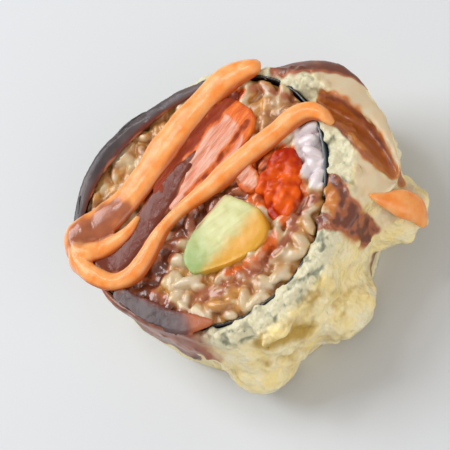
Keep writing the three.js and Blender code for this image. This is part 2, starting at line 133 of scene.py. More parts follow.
# Stains of sauce too thin to stand up: x, y along each streak, its half widths and its strength. On the
# face, sweet sauce is dark brown and chili oil red orange. Amber sauce lies in the groove inside the flange.
# The last three kinds are sweet sauce too: over a strand, along the flange, and round the seam of the coat.
STAINS = {
    "sweet": (
        # This streak and the next lie along the second strand's lower side: sweet sauce and a painted shadow
        # of the strand.
        dict(path=((5.2, -2.4), (1, -1.2), (-3.1, -0.2), (-8, 0), (-11.8, -0.7), (-15.5, -1.6),
                   (-20.1, -2.4)),
             wide=(0.7, 1.3, 1.6, 1.7, 1.8, 2.0, 2.0), strength=0.85),
        dict(path=((-12.8, -0.2), (-16, -1.9), (-20.6, -2.6)), wide=(0.9, 1.7, 1.9), strength=1.35),
        dict(path=((-21.5, 1), (-20.6, -5), (-20.2, -11), (-18.6, -16)),
             wide=(1.5, 2.0, 1.6, 1.2), strength=0.8),
        dict(path=((-15, -12.5), (-9, -15.8), (-4, -17.8), (1, -18.6), (6, -18.4)),
             wide=(1.4, 1.5, 1.4, 1.1, 0.8), strength=0.5),
        dict(path=((20.4, 9.6), (22.8, 5.2), (23.4, 0.6)), wide=(0.9, 1.2, 0.7), strength=0.45),
        dict(path=((6.4, -17), (9.6, -16.6), (12.4, -16.6)), wide=(1.0, 1.3, 1.1), strength=0.65),
        dict(path=((-5.6, -2.6), (-1, -2.2), (2.8, -2.6), (4.2, -5.4)),
             wide=(0.8, 0.9, 1.2, 0.8), strength=0.75),
    ),
    "chili": (
        # Along the first strand's lower side: chili oil and a painted shadow of the strand.
        dict(path=((18.6, 11), (13.5, 11.5), (8, 11.6), (2, 11.3), (-3, 10.7), (-7, 10)),
             wide=(1.0, 1.6, 1.9, 2.1, 2.3, 2.3), strength=1.35),
        dict(path=((-2.4, 4.0), (2.4, 3.6), (7, 3.6), (11.6, 4.2), (15, 4.6)),
             wide=(0.5, 0.7, 0.8, 0.8, 1.0), strength=0.9),
        dict(path=((10.4, -2.9), (14.2, -4.2), (15.9, -7.4), (13.4, -11.2), (10.6, -14), (6.6, -16)),
             wide=(1.4, 1.6, 1.2, 1.4, 1.8, 1.4), strength=0.85),
        dict(path=((4.6, -3), (5.2, -7), (6.4, -10.4)), wide=(1.0, 1.4, 1.2), strength=0.75),
        dict(path=((-8, -13.8), (-2, -17.2), (2.6, -16.2)), wide=(0.8, 1.3, 1.2), strength=0.5),
    ),
    "amber": (
        dict(path=((27.2, -2.9), (27.6, -5.6), (27.6, -9.4), (27, -14.4), (26, -19.4), (25, -23.4)),
             wide=(1.4, 2.1, 2.3, 2.2, 1.9, 1.0), strength=1.0),
        dict(path=((15.6, -16), (15.9, -19), (14.6, -22.6), (13.8, -25)),
             wide=(1.3, 1.9, 2.9, 2.6), strength=0.7),
    ),
    "strand_sweet": (
        dict(path=((-13, 12.6), (-16, 13.2), (-19, 14.1), (-21.8, 15.2)),
             wide=(2.6, 3.1, 3.2, 2.3), strength=0.62),
    ),
    "coat_sweet": (
        dict(path=((26.8, 8.4), (29, 5.6), (32.2, 2.6), (34.2, -0.9), (34.9, -4.4), (34.3, -8)),
             wide=(1.9, 2.1, 1.9, 1.4, 0.8, 0.4), strength=1.1),
        dict(path=((27.6, -1.8), (28.7, -4.4), (29.3, -7.5), (29.0, -11.9), (27.9, -17), (26.0, -22)),
             wide=(0.3, 0.45, 0.5, 0.5, 0.5, 0.4), strength=0.8),
        dict(path=((24.9, -6), (25.1, -10), (24.6, -15), (24.1, -20)),
             wide=(0.3, 0.45, 0.4, 0.3), strength=0.6),
    ),
    "seam_sweet": (
        dict(path=((14.4, -16.2), (16.6, -16.2), (17.2, -18.8), (16.1, -22.2), (14.9, -25), (14.4, -27.4)),
             wide=(0.7, 0.8, 0.9, 1.1, 1.6, 1.3), strength=1.0),
        dict(path=((9.9, -21.6), (11.8, -23.4), (13.4, -25.6), (14.6, -27.6)),
             wide=(1.2, 1.5, 1.6, 1.2), strength=1.1),
    ),
}
# the deep crease between the near crags, carved into the coat and darkened with painted shade: x, y, z along
# it
VALLEY = ((-13.5, -25.4, 22), (-13.9, -27.2, 20.8), (-14, -29.2, 19.6), (-11.8, -30.8, 19.2),
          (-8.7, -31.4, 17.6), (-5.3, -32.2, 16))
# dark sauce that has run down beside the near crag: x, y, z along it
DRIP = ((12.8, -25.6, 7.2), (11.6, -24.8, 5), (9.6, -26.4, 4.5))
# the drop of orange sauce that hangs over a crag: x, y, z along it, its half widths and half thickness, and
# the direction that it faces
DROP = dict(path=((19.3, -24.5, 20.6), (20.7, -26.2, 18.1), (22.2, -28, 15.9), (23.1, -29.7, 13.4),
                  (22.2, -31.2, 9.6)),
            wide=(1.3, 2.1, 2.8, 2.8, 2.2), thick=1.7)
DROP_OUTWARD = (0.5, -0.6, 0.62)

# Where dark sauce has soaked into the rice, strongest at the middle of each patch: x, y, reach, strength.
RICE_STAINS = (
    (-10, -15, 8, 1.2), (-3, -19, 8, 0.6), (5, -19, 7, 0.6), (-19.5, -4, 6.5, 0.9), (20.5, 5, 9, 0.95),
    (2, 20, 9, 1.2), (-13, 17.5, 10, 1.3), (13, -17, 5.5, 0.7), (12, 13.5, 7, 0.8), (-15, 10, 8, 0.9),
)
# clean pale rice: x, y and reach
RICE_CLEAN = ((20.4, -6.6, 3.6), (18.8, -9.4, 4.0), (16.9, -12.4, 3.6), (15.6, -15, 2.6))

# corners of two fillings' outlines, which are rounded between them
AVOCADO_OUTLINE = (
    (2.6, -2.4), (4.8, -10.8), (2.8, -15), (-0.9, -16), (-7.3, -13), (-12.7, -8.9), (-11.6, -4.9),
    (-6.6, -2.7),
)
TUNA_OUTLINE = (
    (7.4, -6.2), (10.2, -4.9), (14.9, -3.8), (17.2, -7.2), (14.7, -11.1), (11.3, -13.9), (7.5, -15.8),
    (4.6, -14.2), (5.6, -9.7),
)

VIEW_ELEVATION = 55  # degrees above the floor
VIEW_ROLL = -48  # degrees that the camera leans
VIEW_TARGET = (-1.8, 1.0, 11)
VIEW_WIDTH = 84.2  # millimetres across the frame at the target

# the lights: azimuth and elevation in degrees, size in metres, power in watts, and tint
LIGHTS = {
    "window": (200, 40, 0.8, 9.7, (0.94, 0.97, 1.0)),
    "glint": (168, 63, 0.2, 1.2, (1.0, 1.0, 1.0)),
    "fill": (8, 34, 0.9, 4.2, (1.0, 0.97, 0.92)),
}
LIGHT_AWAY = 1.1  # metres from the slice
ROOM_LIGHT = dict(tint=(1.0, 0.965, 0.92, 1), strength=0.52)


# ---- properties ----
def length(name, description, millimetres):
    default = millimetres * MM
    return FloatProperty(
        name=name, description=description, default=default, min=0.0, unit="LENGTH", subtype="DISTANCE"
    )


def colour(name, description, *default):
    return FloatVectorProperty(
        name=name, description=description, default=default, min=0.0, max=1.0, size=3, subtype="COLOR"
    )


class SliceSizes(bpy.types.PropertyGroup):
    """Sizes of the slice."""

    slice_height: length("Slice height", "Between the two cut faces", SLICE_HEIGHT)
    roll_radius: length("Roll radius", "Outside of the nori", 25)
    nori_thickness: length("Nori thickness", "A damp sheet with its film of sauce", 0.6)
    wing_reach: length("Flange reach", "How far the fried flange stands out of the coat", 7)
    trough_depth: length("Groove depth", "Depth of the groove inside the flange", 3.6)
    grain_length: length("Grain length", "A cooked grain of rice", 5.4)
    grain_width: length("Grain width", "A cooked grain of rice", 2.5)


class SliceColours(bpy.types.PropertyGroup):
    """Colours of the slice."""

    batter: colour("Batter", "Pale straw crust", 0.92, 0.75, 0.34)
    # the crust's colour in its creases, a painted shade
    batter_crease_shade: colour("Batter crease", "Golden, deep between the lumps", 0.50, 0.32, 0.06)
    batter_cut: colour("Cut batter", "Pale inside of the coat", 0.70, 0.65, 0.45)
    nori: colour("Nori", "Damp dark green sheet", 0.022, 0.024, 0.028)
    rice: colour("Rice", "Moist white grain", 0.68, 0.57, 0.42)
    rice_stain: colour("Stained rice", "Rice that has soaked up dark sauce", 0.36, 0.15, 0.05)
    crab: colour("Crab stick", "Pink fibres", 0.70, 0.20, 0.10)
    crab_skin: colour("Crab skin", "Red orange outside of the stick", 0.74, 0.13, 0.025)
    tuna: colour("Spicy tuna", "Red orange chopped fish", 0.40, 0.016, 0.001)
    avocado: colour("Avocado", "Pale yellow flesh", 0.49, 0.47, 0.17)
    avocado_rim: colour("Avocado rim", "Green flesh under the skin", 0.30, 0.41, 0.12)
    orange_sauce: colour("Orange sauce", "Thick creamy sauce", 0.88, 0.27, 0.045)
    dark_sauce: colour("Dark sauce", "Thick sweet sauce", 0.16, 0.034, 0.018)
    sauce_film: colour("Sauce film", "Dark sauce where it lies thin", 0.42, 0.125, 0.05)
    chili_oil: colour("Chili oil", "Red orange oil round the fish and the crab stick", 0.80, 0.17, 0.02)
    amber_sauce: colour("Amber sauce", "Thin sauce in the groove", 0.56, 0.19, 0.02)
    floor: colour("Floor", "Pale floor", 0.60, 0.615, 0.64)


# ---- shape functions ----
def drawn(seed):
    """A repeatable draw of numbers from 0 to 1."""
    state = seed
    while True:
        state = state * 16807 % 2147483647
        yield state / 2147483647


def smooth(value, low, high):
    share = np.clip((value - low) / (high - low), 0, 1)
    return share * share * (3 - 2 * share)


def degrees_of(angle):
    return (np.degrees(angle) + 180) % 360 - 180


def round_axis(points):
    """Each point's angle round the roll's axis, and its distance from it."""
    return np.arctan2(points[:, 1], points[:, 0]), np.hypot(points[:, 0], points[:, 1])


def placed(radius, angle, z):
    """Points from their distance to the axis, their angle and their height."""
    return np.stack([radius * np.cos(angle), radius * np.sin(angle), z], axis=1)


def sector(angle, centre, half_width):
    """1 at the centre of a range of angles, falling smoothly to 0 at its ends."""
    away = np.abs((angle - math.radians(centre) + math.pi) % TAU - math.pi)
    return 1 - smooth(away, math.radians(half_width) * 0.35, math.radians(half_width))


class Roll:
    """The slice's outline, coat and crags, in millimetres."""

    def __init__(self, sizes):
        for name in sizes.__annotations__:
            setattr(self, name, getattr(sizes, name) / MM)
        self.rice_top = self.slice_height - 1.1
        self.crags = self.find_crags()

    def find_crags(self):
        draw = drawn(CRAG_SEED)
        found = []
        for row, z in enumerate((3, 8.5, 14, 19)):
            for i in range(15):
                turn = (i + 0.5 * (row % 2) + 0.6 * (next(draw) - 0.5)) / 15 * TAU
                height = z + 2.2 * (next(draw) - 0.5)
                found.append((turn, height, 3.6 + 2.2 * next(draw), 0.7 + 1.5 * next(draw)))
        return found

    def radius(self, angle):
        swell = sum(share * np.cos(lobes * (angle - math.radians(at))) for lobes, share, at in OUTLINE_WAVES)
        return self.roll_radius * (1 + swell)

    def lap_lift(self, angle):
        turn = (angle - math.radians(NORI_SEAM)) % TAU
        lap = math.radians(NORI_OVERLAP)
        step, fall = math.radians(3), math.radians(6)
        lift = self.nori_thickness + GAP
        past = np.clip(1 - (turn - lap - step) / fall, 0, 1)
        rise = smooth(turn, TAU - math.radians(45), TAU)
        return lift * np.where(turn < lap + step + fall, past, rise)

    def coat_inside(self, angle):
        return self.radius(angle) + self.lap_lift(angle) + GAP

    def coat_thickness(self, angle, share):
        degrees = degrees_of(angle)
        parts = np.zeros((3, *degrees.shape))
        for (start, *before), (end, *after) in zip(COAT_STATIONS, COAT_STATIONS[1:]):
            within = (degrees >= start) & (degrees <= end)
            between = smooth(degrees, start, end)
            for part, low, high in zip(parts, before, after):
                part[within] = (low + (high - low) * between)[within]
        foot, belly, rim = parts
        lower = foot + (belly - foot) * smooth(share, 0, 0.45)
        return lower + (rim - lower) * smooth(share, 0.6, 1)

    def trough(self, angle, out):
        middle = 1.2 + 0.23 * (-4 - degrees_of(angle))
        away = np.minimum(1, np.abs(out - middle) / (TROUGH_WIDTH / 2))
        return self.trough_depth * sector(angle, -20, 34) * np.cos(away * math.pi / 2) ** 2

    def wing(self, angle):
        away = -degrees_of(angle)
        return smooth(away, -28, 4) * (1 - smooth(away, 42, 70))

    def highest(self, bumps, angle, z):
        height = np.zeros_like(angle)
        for turn, level, radius, tall in bumps:
            across = ((angle - turn + math.pi) % TAU - math.pi) * BELLY_RADIUS
            distance = np.hypot(across, z - level) / radius
            height = np.maximum(height, tall * np.clip(1 - distance * distance, 0, 1) ** 0.8)
        return height

    def rim(self, angle):
        return self.slice_height - 0.5 - 1.1 * sector(angle, 95, 75) + 0.5 * np.sin(7 * angle + 2)

    def coat_outside(self, angle, share):
        thick, wing = self.coat_thickness(angle, share), self.wing(angle)
        z = share * (self.rim(angle) - 1.2 - WING_DROP * wing)
        flare = self.wing_reach * wing * share**1.4
        crag = self.highest(self.crags, angle, z) * (0.1 + 0.9 * thick / COAT_THICK)
        lumps = [(math.radians(turn), *rest) for turn, *rest in LUMPS]
        bump = np.maximum(crag, self.highest(lumps, angle, z)) * smooth(share, 0, 0.12)
        return self.coat_inside(angle) + thick + flare + bump * (1 - 0.75 * wing * smooth(share, 0.5, 0.9)), z

    def coat_over(self, angle, share):
        inside, wing = self.coat_inside(angle), self.wing(angle)
        edge = self.coat_outside(angle, np.ones_like(angle))[0] - inside
        thin = smooth(self.coat_thickness(angle, np.ones_like(angle)), 0.8, 2.4)
        hollow = self.trough(angle, edge * share)
        round_over = -1.0 * share**4 + 0.35 * thin * np.sin(math.pi * share)
        crust = 0.55 * thin * np.sin(13 * angle) * np.sin(5 * angle + 1) * np.sin(math.pi * share)
        return inside + edge * share, self.rim(angle) + round_over - WING_DROP * wing * share - hollow + crust

    def nori_top(self, angle):
        ripple = 0.22 * np.sin(9 * angle) + 0.15 * np.sin(17 * angle + 1)
        return self.slice_height + 0.1 + NORI_PROUD * sector(angle, NORI_BARE, 60) + ripple

    def rice_edge(self, angle):
        return self.radius(angle) - self.nori_thickness - GAP


def filling_axes(name, x, y):
    """A place in a filling's own long and short directions, and how far out it is: 1 on its outline."""
    f = FILLINGS[name]
    turn = math.radians(f["turn"])
    dx, dy = x - f["at"][0], y - f["at"][1]
    u = dx * math.cos(turn) + dy * math.sin(turn)
    v = -dx * math.sin(turn) + dy * math.cos(turn)
    wide = f["half"][1] * (1 + f["taper"] * u / f["half"][0])
    out = (np.abs(u) / f["half"][0]) ** f["square"] + (np.abs(v) / np.maximum(wide, 0.1)) ** f["square"]
    return u, v, out ** (1 / f["square"])


def along(path, wide, steps):
    """Points and half widths at even steps along a smooth curve through the path's points."""
    points = np.array(path, float)
    padded = np.vstack([2 * points[0] - points[1], points, 2 * points[-1] - points[-2]])
    slopes = (padded[2:] - padded[:-2]) / 2
    fine = np.linspace(0, len(points) - 1, 40 * len(points))
    first = np.minimum(fine.astype(int), len(points) - 2)
    t = (fine - first)[:, None]
    a, b, ma, mb = points[first], points[first + 1], slopes[first], slopes[first + 1]
    curve = (2 * t**3 - 3 * t**2 + 1) * a + (t**3 - 2 * t**2 + t) * ma
    curve = curve + (3 * t**2 - 2 * t**3) * b + (t**3 - t**2) * mb
    run = np.concatenate([[0], np.cumsum(np.linalg.norm(np.diff(curve, axis=0), axis=1))])
    at = np.linspace(0, run[-1], steps)
    place = np.interp(at, run, fine)
    out = np.stack([np.interp(at, run, curve[:, k]) for k in range(points.shape[1])], axis=1)
    return out, np.interp(place, np.arange(len(wide)), wide)


def streak_distance(streak, x, y, steps):
    """How far places lie from a streak's middle line, in its half widths."""
    away = np.full(x.shape, 9e9)
    for (px, py), wide in zip(*along(streak["path"], streak["wide"], steps)):
        away = np.minimum(away, np.hypot(x - px, y - py) / wide)
    return away


def stain_at(kind, x, y):
    """How strongly sauce stains a place: its strength along a streak, fading out past the edge."""
    amount = np.zeros(x.shape)
    wander = 0.14 * np.sin(1.1 * x + 0.5 * y) + 0.12 * np.sin(2.1 * y - 0.9 * x + 2)
    for streak in STAINS[kind]:
        away = streak_distance(streak, x, y, 90) + wander
        amount = np.maximum(amount, streak["strength"] * (1 - smooth(away, 0.35, 1.6)))
    return amount


def nearest_streak(x, y, streaks, uneven=1.0):
    """How deep places lie inside a streak: 1 on its middle line, 0 at its edge, negative outside it."""
    best = np.full(x.shape, -3.0)
    wander = uneven * (0.16 * np.sin(0.9 * x + 0.4 * y) + 0.12 * np.sin(1.7 * y - 0.8 * x + 2))
    for streak in streaks:
        share = 1 - (streak_distance(streak, x, y, 120) * (1 + wander)) ** 2
        outside = np.maximum(share, -2.0) * 0.9
        best = np.maximum(best, np.where(share > 0, np.sqrt(np.maximum(share, 0)), outside))
    return best


def outline_reach(outline, centre, around):
    """How far a convex outline lies from its centre at each angle, with its corners rounded."""
    corners = np.array(outline, float) - centre
    total = np.zeros_like(around)
    for start, end in zip(corners, np.roll(corners, -1, axis=0)):
        normal = np.array([start[1] - end[1], end[0] - start[0]])
        normal /= normal @ start
        total += np.maximum(0, normal[0] * np.cos(around) + normal[1] * np.sin(around)) ** 18
    return total ** (-1 / 18)


def ripples(points, scale, octaves=2, shift=0.0):
    """Smooth noise from about -1 to 1 at points in millimetres."""
    move = Vector((shift, 1.7 * shift, -shift))
    return np.array([noise.fractal(Vector(p) / scale + move, 1.0, 2.0, octaves) for p in points])


def lumps(points, scale, shift=0.0):
    """Distance to the nearest of a scatter of centres, in scales: 0 on a lump, near 1 in a crease."""
    move = Vector((shift, 1.7 * shift, -shift))
    return np.array([noise.voronoi(Vector(p) / scale + move)[0][0] for p in points])


# ---- mesh helpers ----
def nothing_selected():
    if bpy.context.object and bpy.context.object.mode != "OBJECT":
        bpy.ops.object.mode_set(mode="OBJECT")
    bpy.ops.object.select_all(action="DESELECT")


def pick(*pieces):
    nothing_selected()
    for piece in pieces:
        piece.select_set(True)
    bpy.context.view_layer.objects.active = pieces[0]


def named(name):
    """The primitive that was just added, under its own name."""
    piece = bpy.context.object
    piece.name = name
    piece.data.name = name
    return piece


def read_points(piece):
    points = np.empty(len(piece.data.vertices) * 3)
    piece.data.vertices.foreach_get("co", points)
    return points.reshape(-1, 3) / MM


def read_normals(piece):
    normals = np.empty(len(piece.data.vertices) * 3)
    piece.data.vertices.foreach_get("normal", normals)
    return normals.reshape(-1, 3)


def write_points(piece, points):
    piece.data.vertices.foreach_set("co", (points * MM).astype(np.float32).ravel())
    piece.data.update()


def write_grounded(piece, points):
    """The points of a piece that reaches down to the floor, with none below it."""
    points[:, 2] = np.maximum(points[:, 2], 0)
    write_points(piece, points)


def write_mask(piece, name, values):
    attribute = piece.data.attributes.new(name, "FLOAT", "POINT")
    attribute.data.foreach_set("value", np.clip(values, 0, 1).astype(np.float32))


def write_stains(piece, points, kinds=("sweet", "chili"), lowest=19.0, share=1.0, patchy=0.55):
    """Masks of the thin sauces on what lies high enough to have caught them."""
    high = share * smooth(points[:, 2], lowest - 1.5, lowest) * (1 + patchy * ripples(points, 1.5, 3, 31.0))
    for kind in kinds:
        write_mask(piece, kind.split("_")[-1], stain_at(kind, points[:, 0], points[:, 1]) * high)


def apply(piece, kind, **settings):
    pick(piece)
    modifier = piece.modifiers.new(kind.title(), kind)
    for name, value in settings.items():
        setattr(modifier, name, value)
    bpy.ops.object.modifier_apply(modifier=modifier.name)


def remesh(piece, voxel):
    apply(piece, "REMESH", mode="VOXEL", voxel_size=voxel * MM)


def relax(piece, rounds, factor=0.5):
    apply(piece, "SMOOTH", factor=factor, iterations=rounds)


def blob(size, place):
    """A small sphere, by its radius and its place in millimetres."""
    nothing_selected()
    location = [float(value) * MM for value in place]
    bpy.ops.mesh.primitive_ico_sphere_add(subdivisions=2, radius=size * MM, location=location)
    return bpy.context.object


def join(pieces, name):
    pick(*pieces)
    if len(pieces) > 1:
        bpy.ops.object.join()
    return named(name)


def settle(piece, nodes=(), material=None):
    """Last steps of every piece: place applied, smooth faces, its body, its node and its finish."""
    pick(piece)
    bpy.ops.object.transform_apply(location=True, rotation=True, scale=True)
    bpy.ops.object.shade_smooth()
    piece.data.materials.clear()
    piece.data.materials.append(material)
    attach(piece, "root")
    if nodes:
        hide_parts(*nodes)
    return piece


# ---- materials ----
def group(name, inputs, output, kind):
    """A new shader node group with one output, or nothing if it is there already."""
    if name in bpy.data.node_groups:
        return None
    tree = bpy.data.node_groups.new(name, "ShaderNodeTree")
    for label, socket, default in inputs:
        made = tree.interface.new_socket(label, in_out="INPUT", socket_type=socket)
        made.default_value = default
    tree.interface.new_socket(output, in_out="OUTPUT", socket_type=kind)
    return tree


def per_size(tree):
    """A node that turns a size in millimetres into a texture's scale."""
    scale = tree.nodes.new("ShaderNodeMath")
    scale.operation = "DIVIDE"
    scale.inputs[0].default_value = 1 / MM
    return scale


def stretched(tree, value, low, high):
    """A node that stretches the values between low and high to between 0 and 1."""
    node = tree.nodes.new("ShaderNodeMapRange")
    node.inputs["From Min"].default_value = low
    node.inputs["From Max"].default_value = high
    tree.links.new(value, node.inputs["Value"])
    return node


def relief_group():
    """Height of fine grain: soft noise with small pits."""
    inputs = (("Grain Size", "NodeSocketFloat", 0.6), ("Pits", "NodeSocketFloat", 0.3))
    tree = group("fine_relief", inputs, "Height", "NodeSocketFloat")
    if tree is None:
        return bpy.data.node_groups["fine_relief"]
    nodes, link = tree.nodes, tree.links.new
    entry, leave = nodes.new("NodeGroupInput"), nodes.new("NodeGroupOutput")
    place = nodes.new("ShaderNodeTexCoord")
    scale = per_size(tree)
    soft, pits = nodes.new("ShaderNodeTexNoise"), nodes.new("ShaderNodeTexVoronoi")
    soft.inputs["Detail"].default_value = 4.0
    mix = nodes.new("ShaderNodeMath")
    mix.operation = "MULTIPLY_ADD"
    link(entry.outputs["Grain Size"], scale.inputs[1])
    for texture in (soft, pits):
        link(place.outputs["Object"], texture.inputs["Vector"])
        link(scale.outputs[0], texture.inputs["Scale"])
    link(pits.outputs["Distance"], mix.inputs[0])
    link(entry.outputs["Pits"], mix.inputs[1])
    link(soft.outputs["Fac"], mix.inputs[2])
    link(mix.outputs[0], leave.inputs["Height"])
    return tree


def drift_group():
    """One colour drifting to another in soft patches."""
    inputs = (
        ("Color", "NodeSocketColor", (1, 1, 1, 1)),
        ("Other Color", "NodeSocketColor", (0, 0, 0, 1)),
        ("Patch Size", "NodeSocketFloat", 4.0),
        ("Amount", "NodeSocketFloat", 0.5),
    )
    tree = group("colour_drift", inputs, "Color", "NodeSocketColor")
    if tree is None:
        return bpy.data.node_groups["colour_drift"]
    nodes, link = tree.nodes, tree.links.new
    entry, leave = nodes.new("NodeGroupInput"), nodes.new("NodeGroupOutput")
    place = nodes.new("ShaderNodeTexCoord")
    scale = per_size(tree)
    patches = nodes.new("ShaderNodeTexNoise")
    patches.inputs["Detail"].default_value = 3.0
    stretch = stretched(tree, patches.outputs["Fac"], 0.35, 0.68)
    mix = nodes.new("ShaderNodeMix")
    mix.data_type = "RGBA"
    link(entry.outputs["Patch Size"], scale.inputs[1])
    link(place.outputs["Object"], patches.inputs["Vector"])
    link(scale.outputs[0], patches.inputs["Scale"])
    link(entry.outputs["Amount"], stretch.inputs["To Max"])
    link(stretch.outputs["Result"], mix.inputs["Factor"])
    link(entry.outputs["Color"], mix.inputs["A"])
    link(entry.outputs["Other Color"], mix.inputs["B"])
    link(mix.outputs["Result"], leave.inputs["Color"])
    return tree


class Finish:
    """A material built around one Principled BSDF."""

    def __init__(self, name, roughness, **fixed):
        self.material = bpy.data.materials.new(name)
        self.material.use_nodes = True
        self.nodes = self.material.node_tree.nodes
        self.link = self.material.node_tree.links.new
        self.shader = self.nodes["Principled BSDF"]
        self.shader.inputs["Roughness"].default_value = roughness
        for label, value in fixed.items():
            self.shader.inputs[label.replace("_", " ")].default_value = value

    def mask(self, name, low=0.0, high=1.0, top=1.0, bottom=0.0):
        """A piece's own attribute: bottom where it is low or less, top where it is high or more."""
        read = self.nodes.new("ShaderNodeAttribute")
        read.attribute_name = name
        stretch = stretched(self.material.node_tree, read.outputs["Fac"], low, high)
        stretch.interpolation_type = "SMOOTHSTEP"
        stretch.inputs["To Min"].default_value = bottom
        stretch.inputs["To Max"].default_value = top
        return stretch.outputs["Result"]

    def sauced(self, under, colours, kinds=("chili", "sweet"), gloss=0.35):
        """A colour under thin sauces, which darken as they lie thicker and shine."""
        thin = {
            "chili": (colours.chili_oil, (0.25, 0.022, 0.003)),
            "sweet": (colours.sauce_film, (0.12, 0.026, 0.010)),
            "amber": (colours.amber_sauce, (0.34, 0.08, 0.01)),
        }
        for kind in kinds:
            film, deep = thin[kind]
            under = self.mix(self.mask(kind, 0.05, 0.6), under, self.drift(film, deep, 2.6, 0.35))
            under = self.mix(self.mask(kind, 0.6, 1.1), under, deep)
        self.link(self.mask(kinds[-1], 0.1, 0.8, gloss), self.shader.inputs["Coat Weight"])
        self.shader.inputs["Coat Roughness"].default_value = 0.12
        return under

    def mix(self, factor, first, second):
        node = self.nodes.new("ShaderNodeMix")
        node.data_type = "RGBA"
        self.put(factor, node.inputs["Factor"])
        self.put(first, node.inputs["A"])
        self.put(second, node.inputs["B"])
        return node.outputs["Result"]

    def put(self, value, socket):
        """A node's output, a number or a colour, given to a socket."""
        if isinstance(value, bpy.types.NodeSocket):
            self.link(value, socket)
        elif isinstance(value, (int, float)):
            socket.default_value = value
        else:
            socket.default_value = (*tuple(value)[:3], 1.0)

    def drift(self, first, second, size, amount):
        node = self.nodes.new("ShaderNodeGroup")
        node.node_tree = drift_group()
        self.put(first, node.inputs["Color"])
        self.put(second, node.inputs["Other Color"])
        node.inputs["Patch Size"].default_value = size
        node.inputs["Amount"].default_value = amount
        return node.outputs["Color"]

    def noise(self, size, stretch, turn, detail=3.0):
        """Noise with grains of a size in millimetres, stretched along a direction."""
        place = self.nodes.new("ShaderNodeTexCoord")
        turned = self.nodes.new("ShaderNodeMapping")
        turned.inputs["Rotation"].default_value = (0, 0, -math.radians(turn))
        scaled = self.nodes.new("ShaderNodeMapping")
        scaled.inputs["Scale"].default_value = [1000.0 / (size * share) for share in stretch]
        texture = self.nodes.new("ShaderNodeTexNoise")
        texture.inputs["Scale"].default_value = 1.0
        texture.inputs["Detail"].default_value = detail
        self.link(place.outputs["Object"], turned.inputs["Vector"])
        self.link(turned.outputs["Vector"], scaled.inputs["Vector"])
        self.link(scaled.outputs["Vector"], texture.inputs["Vector"])
        return stretched(self.material.node_tree, texture.outputs["Fac"], 0.35, 0.65).outputs["Result"]

    def bump(self, height, distance):
        node = self.nodes.new("ShaderNodeBump")
        node.inputs["Distance"].default_value = distance * MM
        node.inputs["Strength"].default_value = 1.0
        self.link(height, node.inputs["Height"])
        self.link(node.outputs["Normal"], self.shader.inputs["Normal"])

    def relief(self, size, pits):
        node = self.nodes.new("ShaderNodeGroup")
        node.node_tree = relief_group()
        node.inputs["Grain Size"].default_value = size
        node.inputs["Pits"].default_value = pits
        return node.outputs["Height"]

    def scaled(self, value, factor):
        """One output times another."""
        node = self.nodes.new("ShaderNodeMath")
        node.operation = "MULTIPLY"
        self.link(value, node.inputs[0])
        self.link(factor, node.inputs[1])
        return node.outputs[0]

    def base(self, value):
        self.put(value, self.shader.inputs["Base Color"])

    def soft(self, weight, radius, scale):
        self.shader.inputs["Subsurface Weight"].default_value = weight
        self.shader.inputs["Subsurface Radius"].default_value = radius
        self.shader.inputs["Subsurface Scale"].default_value = scale * MM


